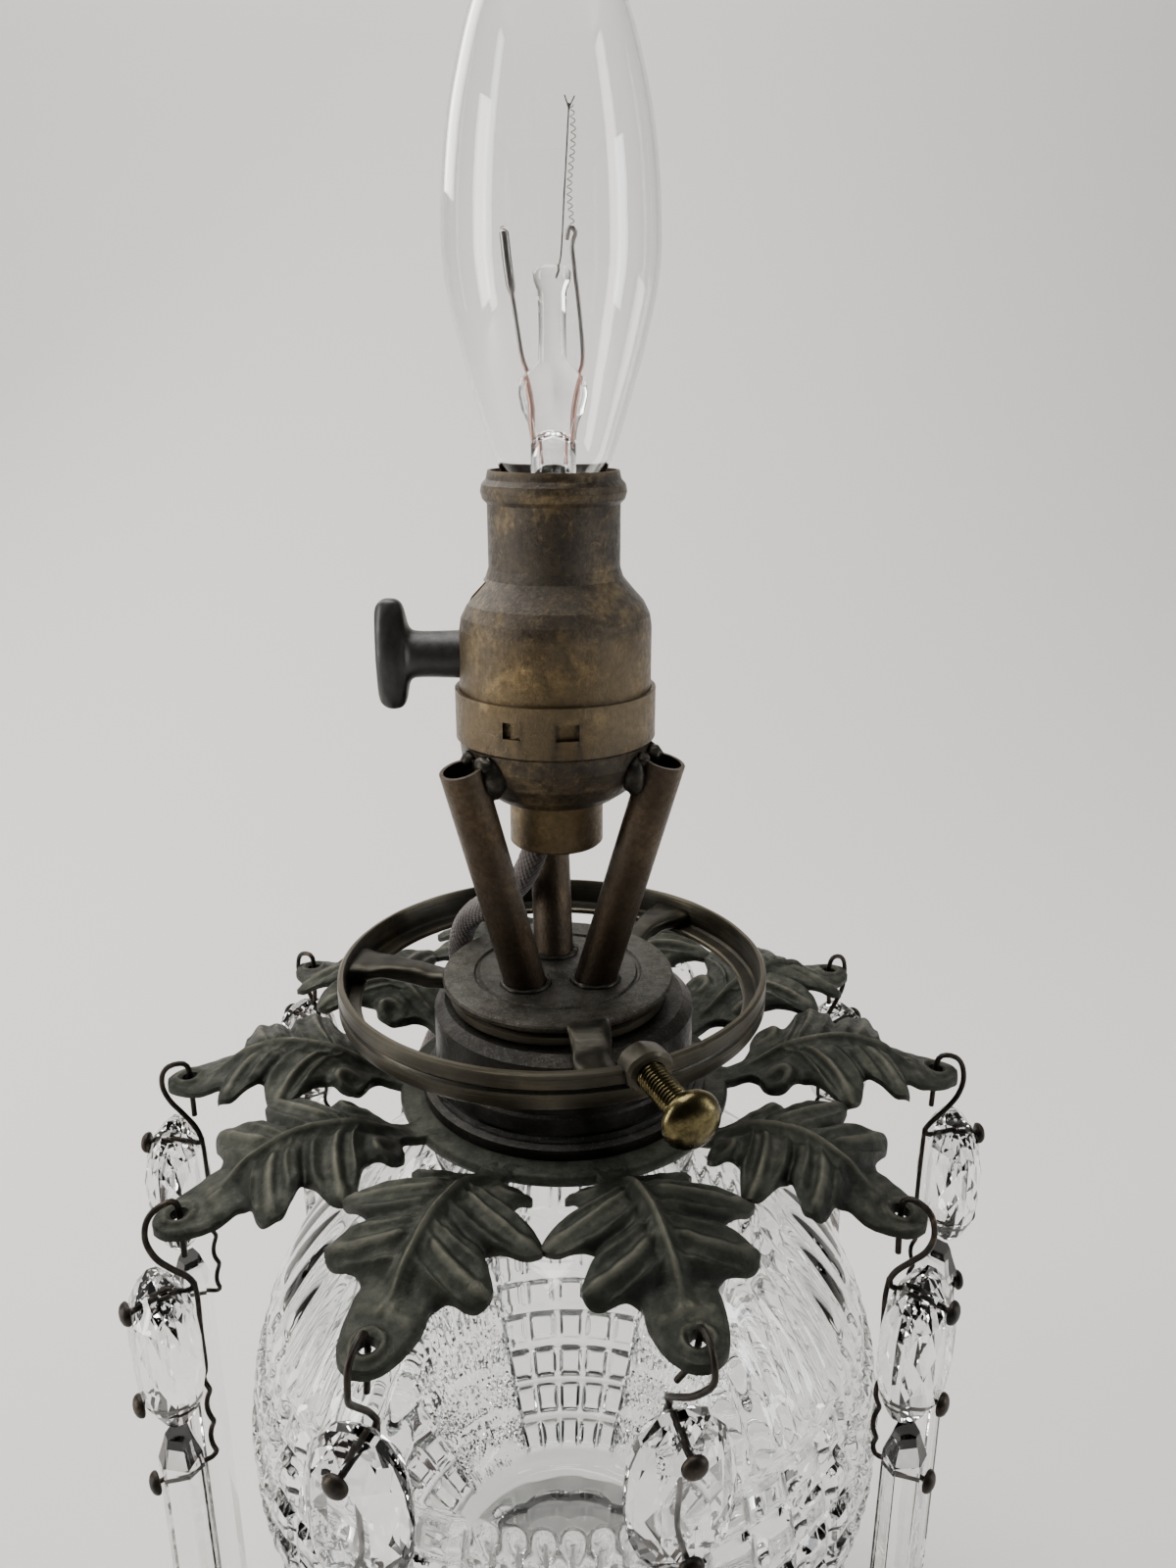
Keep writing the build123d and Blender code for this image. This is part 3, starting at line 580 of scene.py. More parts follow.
def cord_mesh(P, radius, step, n=20):
    """A braided sleeve: plaited ridges both ways round a closed tube (metres). u runs along, v round."""
    L, total = resample(P, step)
    T, N, B = frames_along(L)
    verts, faces, uv = [], [], []
    pitch = 0.0052
    for i in range(len(L)):
        s = total * i / (len(L) - 1)
        for k in range(n):
            a = 2 * math.pi * k / n
            w1 = math.cos(4 * a + 2 * math.pi * s / pitch * 2)
            w2 = math.cos(4 * a - 2 * math.pi * s / pitch * 2)
            r = radius * (0.955 + 0.03 * max(w1, w2) + 0.008 * math.sin(s * 700) * math.sin(a + s * 60))
            verts.append(L[i] + r * (math.cos(a) * N[i] + math.sin(a) * B[i]))
    for i in range(len(L) - 1):
        for k in range(n):
            faces.append((i * n + k, i * n + (k + 1) % n, (i + 1) * n + (k + 1) % n, (i + 1) * n + k))
            u0, u1, v0, v1 = i / (len(L) - 1) * total * 380, (i + 1) / (len(L) - 1) * total * 380, k / n * 4, (k + 1) / n * 4
            uv += [(u0, v0), (u0, v1), (u1, v1), (u1, v0)]
    faces.append(tuple(range(n))[::-1])
    faces.append(tuple((len(L) - 1) * n + k for k in range(n)))
    uv += [(0, 0)] * (2 * n)
    m = bpy.data.meshes.new("cord")
    m.from_pydata([tuple(v) for v in verts], [], faces)
    lay = m.uv_layers.new(name="UVMap")
    lay.data.foreach_set("uv", np.array(uv, dtype=float).ravel())
    m.shade_smooth()
    m.update()
    return m


cord = link("cord", cord_mesh(LINE, 0.00235, 0.0008), M["cloth"])
finish_piece(cord, "lamp", ("cord_tube", "cord_coil", "cord_tail"))


# -------------------------------------------------------------------- plug
def plug_piece():
    o = np.array([-20.0, -74.5, 7.2])
    zx = np.array([0.876, 0.482, 0.0])
    zx /= np.linalg.norm(zx)
    xx = np.array([-0.482, 0.876, 0.0])
    xx /= np.linalg.norm(xx)
    yy = np.cross(zx, xx)
    prof = [(0.0, 6.6, 6.6), (0.4, 7.0, 7.0), (2.0, 7.2, 7.1), (2.3, 6.4, 6.4), (3.0, 6.4, 6.4), (3.3, 7.6, 7.3), (4.6, 8.2, 7.6),
            (4.9, 7.2, 6.9), (5.6, 7.3, 7.0), (5.9, 9.2, 8.4), (7.5, 11.6, 9.6), (9.5, 15.6, 11.4), (11.5, 18.4, 12.6), (12.6, 19.0, 13.0),
            (13.0, 18.3, 12.3), (13.7, 18.3, 12.3), (14.1, 19.8, 13.3), (15.1, 20.0, 13.4), (15.5, 19.0, 12.5), (16.2, 19.0, 12.5),
            (16.6, 20.4, 13.5), (18.0, 20.8, 13.6), (21.2, 21.0, 13.6), (21.7, 20.6, 13.2), (22.0, 19.8, 12.4)]
    n = 40
    v, f = [], []
    for s, w, h in prof:
        for k in range(n):
            a = 2 * math.pi * k / n
            e = 0.5 if s > 6 else 1.0 - 0.08 * s
            cx, cy = math.cos(a), math.sin(a)
            x = w / 2 * math.copysign(abs(cx) ** e, cx)
            y = h / 2 * math.copysign(abs(cy) ** e, cy)
            v.append((o + zx * s + xx * x + yy * y) * MM)
    for i in range(len(prof) - 1):
        for k in range(n):
            f.append((i * n + k, i * n + (k + 1) % n, (i + 1) * n + (k + 1) % n, (i + 1) * n + k))
    f.append(tuple(range(n))[::-1])
    f.append(tuple((len(prof) - 1) * n + k for k in range(n)))
    return Builder().add((v, f)).piece("plug", M["plug"], "lamp", ("plug_body",), "plug_plastic", angle=50)


plug = plug_piece()


# -------------------------------------------------------------------- bulb
def bulb():
    knots = [(5.45, 269.6), (5.45, 270.8), (6.1, 272.4), (8.5, 275.6), (10.1, 279.8), (12.05, 286.4), (13.8, 292.8), (15.3, 299.5),
             (15.9, 304.0), (16.0, 308.5), (15.5, 317.0), (14.0, 326.5), (10.8, 337.5), (6.2, 346.2), (2.6, 350.6)]
    L = smooth_line([(r, 0, z) for r, z in knots], 1.1)
    outer = [(p[0], p[2]) for p in L]
    outer += [(1.5, 351.5), (0.8, 351.9), (0.0, 352.0)]
    inner = []
    for i, (r, z) in enumerate(outer[:-3]):
        a, b = outer[max(i - 1, 0)], outer[i + 1]
        t = np.array([b[0] - a[0], b[1] - a[1]])
        t /= np.linalg.norm(t)
        inner.append((r - 0.7 * t[1], z + 0.7 * t[0]))
    inner = [(0.0, 350.9), (0.9, 350.6)] + inner[::-1]
    Builder().add(lathe(outer + inner, UX, 0, 128)).piece("bulb_envelope", M["bulb_glass"], "bulb", ("bulb_glass",), "bulb_glass", angle=60)

    def oval(r, z, a):
        k = smoothstep(280.5, 284.5, z) * (1 - smoothstep(288.6, 291.0, z))
        return r * (1 + k * (0.5 * math.cos(a) ** 2 - 0.42 * math.sin(a) ** 2)), z
    stem = [(2.9, 269.6), (3.5, 269.6), (3.5, 279.5), (3.35, 282.0), (3.3, 284.0), (3.5, 286.2), (3.4, 288.2), (2.7, 289.8), (2.1, 290.8),
            (2.05, 296.0), (2.2, 300.6), (2.75, 301.9), (2.85, 303.0), (2.4, 303.8), (1.2, 304.1), (0.0, 304.15),
            (0.0, 281.0), (1.6, 280.6), (2.5, 279.4), (2.9, 277.0)]
    Builder().add(lathe(stem, UX, 0, 48, shape=oval)).piece("glass_stem", M["stem_glass"], "bulb", ("bulb_stem",), "clear_glass", angle=50)

    w = Builder()
    left = smooth_line([(UX - 1.9, 0.3, 276), (UX - 2.7, 0.2, 283), (UX - 3.6, 0, 288.5), (UX - 4.6, 0, 291.6), (UX - 5.4, -0.2, 297),
                        (UX - 6.3, -0.2, 303), (UX - 6.9, 0, 308.4)], 0.6)
    w.add(tube(left, [0.36 if p[2] < 300 else 0.36 + 0.36 * smoothstep(300, 301, p[2]) for p in left], 10))
    right = smooth_line([(UX + 1.9, -0.3, 276), (UX + 2.7, -0.2, 283), (UX + 3.7, 0, 288.3), (UX + 4.5, 0.2, 291.2), (UX + 4.1, 0.2, 297),
                         (UX + 3.4, 0.1, 303), (UX + 3.0, 0, 306.6), (UX + 3.5, -0.5, 308.4), (UX + 2.6, -0.9, 308.9), (UX + 2.2, -0.4, 307.4)],
                        0.5)
    w.add(tube(right, 0.34, 10))
    sup = smooth_line([(UX + 0.4, 0, 302.4), (UX + 1.3, 0.2, 305.2), (UX + 1.9, 0.3, 314), (UX + 2.6, 0.2, 325)], 0.8)
    w.add(tube(sup, 0.13, 8))
    w.add(tube(smooth_line([(UX + 2.55, 0.2, 324.4), (UX + 2.0, 0.2, 326.0)], 0.4), 0.11, 8))
    w.add(tube(smooth_line([(UX + 2.6, 0.2, 324.4), (UX + 3.4, 0.3, 325.9)], 0.4), 0.11, 8))
    coil = [(UX + 2.9 + 0.35 * math.cos(t * 1.9) + 0.3 * math.sin(t * 0.13), 0.3 + 0.35 * math.sin(t * 1.9), 324.8 - t * 0.3) for t in
            np.arange(0, 52, 0.4)]
    w.add(tube(np.array(coil), 0.08, 6))
    hook = [(UX - 6.9 + 0.5 * math.sin(t), 0.5 * math.cos(t) - 0.5, 308.2 + 0.16 * t) for t in np.arange(0, 6.4, 0.35)]
    w.add(tube(np.array(hook), 0.1, 6))
    m = Mat("lead_wires").set(metal=1.0, rough=0.35)
    m.link(m.ramp(m.xyz("Object")[2], [(0.2895, (0.62, 0.34, 0.28)), (0.292, (0.3, 0.28, 0.27))]), "Base Color")
    w.piece("lead_wires", m.m, "bulb", ("bulb_lead_wires",), "lead_wire")


bulb()


# --------------------------------------------------------------- turn key
def key_piece():
    """Moulded turn key: round shank flaring into a flat cross bar with rounded ends."""
    b = Builder()
    zc = 246.3
    # (x, half height, half depth, squareness)
    sec = [(-15.3, 3.6, 3.6, 1.0), (-15.7, 3.85, 3.85, 1.0), (-18.0, 3.8, 3.8, 1.0), (-21.5, 3.72, 3.7, 1.0), (-23.6, 3.85, 3.6, 1.0),
           (-24.3, 4.3, 3.35, 0.95), (-24.7, 5.1, 3.05, 0.9), (-24.95, 6.3, 2.75, 0.85), (-25.2, 7.5, 2.55, 0.8), (-25.6, 8.35, 2.5, 0.72),
           (-26.3, 8.85, 2.55, 0.68), (-27.3, 9.0, 2.6, 0.66), (-28.3, 8.9, 2.5, 0.68), (-29.0, 8.5, 2.25, 0.72), (-29.5, 7.9, 1.9, 0.8),
           (-29.8, 7.0, 1.3, 0.9)]
    fine = smooth_line([(x, h, d) for x, h, d, e in sec], 0.22)
    n = 64
    v, f = [], []
    for x, h, d in fine:
        e = float(np.interp(-x, [-p[0] for p in sec], [p[3] for p in sec]))
        wide = smoothstep(4.2, 8.0, h)
        for k in range(n):
            a = 2 * math.pi * k / n
            ca, sa = math.cos(a), math.sin(a)
            z = h * math.copysign(abs(sa) ** e, sa)
            y = d * math.copysign(abs(ca) ** e, ca)
            # thicker ridge across the middle of the bar, on the shank's line
            y *= 1 + 0.22 * wide * math.exp(-(z / 3.2) ** 2)
            y -= wide * 0.1 * noise.noise(Vector((x, z * 0.5, 2.0)))
            v.append((x * MM, y * MM, (zc + z) * MM))
    m = len(fine)
    for i in range(m - 1):
        for k in range(n):
            f.append((i * n + k, i * n + (k + 1) % n, (i + 1) * n + (k + 1) % n, (i + 1) * n + k))
    f.append(tuple(range(n))[::-1])
    f.append(tuple((m - 1) * n + k for k in range(n)))
    b.add((v, f))
    return b.piece("turn_key", M["rubber"], "switch", ("switch_key",), "black_rubber", angle=60)


key_piece()


# --------------------------------------------------- hub disc, shade ring
def hub():
    prof = [(0, 190.25), (2.0, 190.2), (2.4, 190.0), (13.7, 190.0), (14.0, 189.6), (14.45, 189.6), (14.75, 190.0), (19.4, 190.0), (19.95, 189.85),
            (20.2, 189.5), (20.2, 188.9), (19.9, 188.5), (10.8, 188.5), (10.8, 185.5), (0, 185.5)]
    Builder().add(lathe(prof, UX, 0, 160)).piece("fixing_disc", M["dull"], "lamp", ("hub_disc",), "dull_brass", angle=30)


hub()


def bar(path, width, thick, n=20, e=0.45, flat=(0, 0, 1), lump=0.0, seed=0.0):
    """A lofted strap along path (mm) with superellipse sections; width across, thick along flat."""
    L = np.asarray(path, float)
    T = np.gradient(L, axis=0)
    T /= np.linalg.norm(T, axis=1)[:, None]
    v, f = [], []
    for i in range(len(L)):
        u = np.cross(T[i], np.array(flat, float))
        u /= np.linalg.norm(u)
        w = np.cross(u, T[i])
        W = width if np.isscalar(width) else width[i]
        H = thick if np.isscalar(thick) else thick[i]
        for k in range(n):
            a = 2 * math.pi * k / n
            ca, sa = math.cos(a), math.sin(a)
            x = W / 2 * math.copysign(abs(ca) ** e, ca)
            y = H / 2 * math.copysign(abs(sa) ** e, sa)
            p = L[i] + u * x + w * y
            if lump:
                p = p + lump * np.array(noise.noise_vector(Vector(tuple(p * 0.35 + seed))))
            v.append(p * MM)
    for i in range(len(L) - 1):
        for k in range(n):
            f.append((i * n + k, i * n + (k + 1) % n, (i + 1) * n + (k + 1) % n, (i + 1) * n + k))
    f.append(tuple(range(n))[::-1])
    f.append(tuple((len(L) - 1) * n + k for k in range(n)))
    return v, f


def shade_ring():
    b = Builder()

    def dented(r, z, a):
        k = noise.noise(Vector((math.cos(a) * 5, math.sin(a) * 5, z * 0.25)))
        nick = 0.0
        for az, w in ((297.5, 0.5), (299.2, 0.35), (301.0, 0.5), (283.0, 0.3), (258.0, 0.3), (310.0, 0.4)):
            d = abs((math.degrees(a) - az + 180) % 360 - 180)
            nick += 0.22 * max(0.0, 1 - d / w) if z > 191.0 else 0.0
        return r + 0.05 * k, z - nick + 0.04 * noise.noise(Vector((math.cos(a) * 9, math.sin(a) * 9, 3.1))) * (1 if z > 190 else 0)
    prof = [(36.2, 191.8), (36.75, 191.75), (37.15, 191.4), (37.2, 190.8), (37.2, 189.2), (36.9, 188.95), (36.78, 188.7), (36.9, 188.45),
            (37.2, 188.2), (37.2, 186.2), (36.9, 185.7), (36.3, 185.6), (33.6, 185.6), (33.4, 185.8), (33.4, 186.5), (33.7, 186.75),
            (35.5, 186.85), (35.9, 187.3), (35.95, 191.4)]
    b.add(lathe(prof, RX, 0, 288, shape=dented))
    b.add(lathe([(12.0, 187.5), (18.6, 187.5), (19.0, 187.2), (19.0, 185.9), (18.7, 185.6), (12.0, 185.6)], UX, 0, 96))
    for az, w0, w1, z0, z1, th in ((286.0, 7.6, 7.2, 189.2, 186.9, 2.2), (172.0, 6.2, 10.5, 188.6, 188.2, 2.7), (50.0, 6.0, 9.0, 188.2, 188.0, 2.4)):
        c, s = math.cos(math.radians(az)), math.sin(math.radians(az))
        pts, ws, hs = [], [], []
        r0 = 18.9 if az > 250 else 16.5
        for t in np.linspace(0, 1, 30):
            r = r0 + (36.2 - r0) * t
            z = z0 + (z1 - z0) * smoothstep(0.04, 0.42, t)
            if az < 250:
                z = 186.6 + (z1 - 186.6) * smoothstep(0.2, 0.75, t) + 0.5 * math.sin(t * math.pi)
            cx = UX + (RX - UX) * t
            side = 1.0 * math.sin(t * math.pi * 0.9) if az < 250 else -1.6 * smoothstep(0.0, 0.6, t)
            pts.append((cx + r * c - side * s * 0.6, r * s + side * c * 0.6, z))
            ws.append(w0 + (w1 - w0) * t ** 2 - (1.2 if az > 250 else 2.2) * math.sin(t * math.pi))
            hs.append(th + (0.6 * math.sin(t * math.pi) + 1.2 * smoothstep(0.75, 1.0, t)) * (1 if az < 250 else 0.1))
        b.add(bar(pts, ws, hs, 28, 0.7, lump=0.34, seed=az))
    # arched boss on the rim that the thumbscrew is tapped through
    az = math.radians(294.0)
    d = np.array((math.cos(az), math.sin(az), 0.0))
    tng = np.array((-d[1], d[0], 0.0))
    base = np.array([RX, 0.0, 0.0])
    v, f = [], []
    slices = [(33.9, 0.86), (34.4, 0.97), (35.2, 1.0), (36.6, 1.0), (37.9, 0.98), (38.4, 0.86)]
    outline = []
    for k in range(25):
        t = math.pi * k / 24
        outline.append((-3.9 * math.cos(t) * (1 + 0.06 * math.sin(3 * t)), 190.4 + 3.75 * math.sin(t)))
    outline += [(3.7, 189.2), (2.9, 188.2), (-2.9, 188.2), (-3.7, 189.2)]
    n = len(outline)
    for r, sc in slices:
        for x, z in outline:
            zz = 189.6 + (z - 189.6) * sc
            p = base + d * r + tng * x * sc + np.array([0, 0, zz])
            p = p + 0.12 * np.array(noise.noise_vector(Vector(tuple(p * 0.5))))
            v.append(p * MM)
    for i in range(len(slices) - 1):
        for k in range(n):
            f.append((i * n + k, i * n + (k + 1) % n, (i + 1) * n + (k + 1) % n, (i + 1) * n + k))
    f.append(tuple(range(n))[::-1])
    f.append(tuple((len(slices) - 1) * n + k for k in range(n)))
    b.add((v, f))
    ring_mesh = make_mesh("ring_blank", b.v, b.f)
    cut = Builder().add(disc_between([(0, 0), (2.42, 0), (2.42, 7.4), (0, 7.4)], base + d * 32.3 + np.array([0, 0, 190.2]), d, 40))
    done = subtract(ring_mesh, make_mesh("cutter", cut.v, cut.f), True)
    b = Builder().add(([v.co.copy() for v in done.vertices], [tuple(p.vertices) for p in done.polygons]))
    bpy.data.meshes.remove(done)
    return b.piece("gallery_ring", M["ring"], "lamp", ("shade_ring",), "dull_brass", angle=32)


shade_ring()


def thumbscrew():
    az = math.radians(294.0)
    d = np.array([math.cos(az), math.sin(az), 0.0])
    p0 = np.array([RX, 0.0, 190.2]) + d * 34.4
    length, pitch, n = 15.4, 0.75, 40
    rows = int(length / pitch * 8)
    v, f = [], []
    up = np.array([0, 0, 1.0])
    u = np.cross(up, d)
    for i in range(rows + 1):
        s = length * i / rows
        for k in range(n):
            a = 2 * math.pi * k / n
            t = (s / pitch - k / n) % 1.0
            tri = 1 - abs(2 * t - 1)
            end = smoothstep(0, 0.8, s)
            r = (2.3 - 0.32 * (1 - min(1.0, 1.35 * tri))) * (0.86 + 0.14 * end)
            v.append((p0 + d * s + u * r * math.cos(a) + up * r * math.sin(a)) * MM)
    for i in range(rows):
        for k in range(n):
            f.append((i * n + k, i * n + (k + 1) % n, (i + 1) * n + (k + 1) % n, (i + 1) * n + k))
    f.append(tuple(range(n))[::-1])
    f.append(tuple(rows * n + k for k in range(n)))
    b = Builder().add((v, f))
    head = [(0, 15.1), (3.0, 15.1), (4.1, 15.25), (4.5, 15.6), (4.6, 16.1), (4.5, 16.6), (4.15, 17.2), (3.4, 17.8), (2.4, 18.2), (1.2, 18.43),
            (0, 18.5)]
    b.add(disc_between(head, p0, d, 56))
    return b.piece("thumb_screw", M["yellow"], "thumbscrew", ("thumbscrew",), "yellow_brass", angle=32)


thumbscrew()


def blob(center, size, seed, n=20, m=12, lump=0.25):
    """A lumpy closed drop."""
    v, f = [], []
    c = np.array(center, float)
    S = np.array(size, float)
    rows = []
    for i in range(m + 1):
        t = math.pi * i / m
        if i in (0, m):
            rows.append([len(v)] * n)
            p = c + S * np.array([0, 0, math.cos(t)])
            v.append(p * MM)
            continue
        row = []
        for k in range(n):
            a = 2 * math.pi * k / n
            q = np.array([math.sin(t) * math.cos(a), math.sin(t) * math.sin(a), math.cos(t)])
            g = 1 + lump * noise.noise(Vector(tuple(q * 1.7 + seed)))
            row.append(len(v))
            v.append((c + S * q * g) * MM)
        rows.append(row)
    for A, B in zip(rows, rows[1:]):
        for k in range(n):
            q = [A[k], A[(k + 1) % n], B[(k + 1) % n], B[k]]
            q = [x for j, x in enumerate(q) if x not in q[:j]]
            if len(q) > 2:
                f.append(q)
    return v, f


def solder():
    b = Builder()
    for az, zt, r in ((220.0, 228.2, 14.6), (337.0, 228.0, 14.8), (98.0, 228.0, 14.6)):
        a = math.radians(az)
        d = np.array([math.cos(a), math.sin(a)])
        t = np.array([-d[1], d[0]])
        for j, (dr, dt, dz, sx, sz) in enumerate(((0.3, 3.1, 0.9, 1.9, 3.3), (0.3, -3.1, 0.6, 2.0, 3.1), (-0.4, 0.0, -1.2, 2.3, 2.6), (1.2, 2.3, 2.9, 1.7, 1.4), (1.0, -2.2, 2.8, 1.5, 1.3))):
            c = d * (r + dr) + t * dt
            b.add(blob((UX + c[0], c[1], zt + dz), (sx * 1.05, sx * 1.05, sz * 1.05), az + j, lump=0.22))
    for az in (224.0, 331.0, 97.0):
        a = math.radians(az)
        ring = []
        for k in range(33):
            w = 2 * math.pi * k / 32
            q = 3.55 + 0.35
            ring.append((UX + 7.5 * math.cos(a) + q * math.cos(w), 7.5 * math.sin(a) + q * math.sin(w), 190.15))
        b.add(tube(np.array(ring), [0.5 + 0.1 * math.sin(5 * k + az) for k in range(33)], 10))
    m = Mat("solder_grey")
    n = m.noise(420, 5.0, 0.65)
    m.link(m.ramp(n, [(0.35, (0.020, 0.018, 0.015)), (0.6, (0.05, 0.046, 0.038)), (0.78, (0.15, 0.142, 0.125))]), "Base Color")
    m.link(m.ramp(n, [(0.3, 0.6), (0.7, 0.36)]), "Roughness")
    m.set(metal=0.9)
    m.bump(m.noise(900, 4.0, 0.6), 0.00014, 0.6)
    b.piece("tripod_solder", m.m, "lamp", (), "aged_brass", angle=60)


solder()

# ------------------------------------------------------------- leaf ring
TOP = [(22, 168.4), (29.5, 168.4), (35, 170.7), (42, 174.4), (50, 175.6), (58, 173.6), (62, 170.9), (65, 169.2), (76, 168.0)]
# half outline in plan, (radius, half width), with the midrib radius that each point's cross line starts from
OUTLINE = [(27.0, 3.8, 27.0), (29.0, 2.9, 29.0), (31.0, 2.5, 31.0), (33.2, 3.0, 32.8), (34.6, 5.0, 33.6), (35.2, 7.4, 34.2), (36.6, 9.4, 34.9),
           (38.6, 9.9, 35.6), (40.2, 8.9, 36.3), (41.6, 8.6, 37.2), (43.4, 10.0, 38.2), (45.2, 12.8, 39.2), (47.2, 15.4, 40.2),
           (48.9, 16.0, 41.2), (50.4, 14.6, 42.6), (51.5, 11.9, 44.6), (52.1, 9.3, 46.8), (53.2, 9.3, 48.6), (55.2, 11.0, 50.2),
           (57.6, 12.7, 51.8), (59.6, 12.3, 53.4), (60.4, 9.8, 55.4), (60.2, 6.9, 57.8), (61.4, 5.5, 59.8), (63.4, 5.5, 62.0),
           (65.6, 5.3, 64.6), (68.2, 4.7, 67.4), (70.6, 3.7, 70.0), (72.3, 2.3, 72.0), (73.0, 0.0, 73.0)]


def cubic(x, pts):
    xs, ys = [p[0] for p in pts], [p[1] for p in pts]
    i = max(0, min(len(xs) - 2, int(np.searchsorted(xs, x)) - 1))
    h = xs[i + 1] - xs[i]
    t = min(1.0, max(0.0, (x - xs[i]) / h))

    def slope(j):
        if j == 0 or j == len(xs) - 1:
            return 0.0
        a, b = (ys[j] - ys[j - 1]) / (xs[j] - xs[j - 1]), (ys[j + 1] - ys[j]) / (xs[j + 1] - xs[j])
        return 0.0 if a * b <= 0 else 2 * a * b / (a + b)
    m0, m1 = slope(i) * h, slope(i + 1) * h
    return ys[i] * (2 * t ** 3 - 3 * t ** 2 + 1) + m0 * (t ** 3 - 2 * t ** 2 + t) + ys[i + 1] * (-2 * t ** 3 + 3 * t ** 2) + m1 * (t ** 3 - t ** 2)


# places along the outline, counted in its points: lobe tips carry ribs, notches carry furrows
RIBS = [(13.0, 0.9, 0.9), (15.2, 0.45, 0.6), (10.9, 0.55, 0.7), (19.6, 0.85, 1.0), (21.4, 0.4, 0.6), (17.9, 0.45, 0.6), (24.6, 0.5, 0.9)]
FURROWS = [(16.1, 1.2, 0.75), (22.6, 1.0, 0.8), (9.2, 0.7, 0.8), (12.0, 0.35, 0.5), (14.2, 0.45, 0.5), (18.8, 0.4, 0.5), (20.6, 0.4, 0.45)]


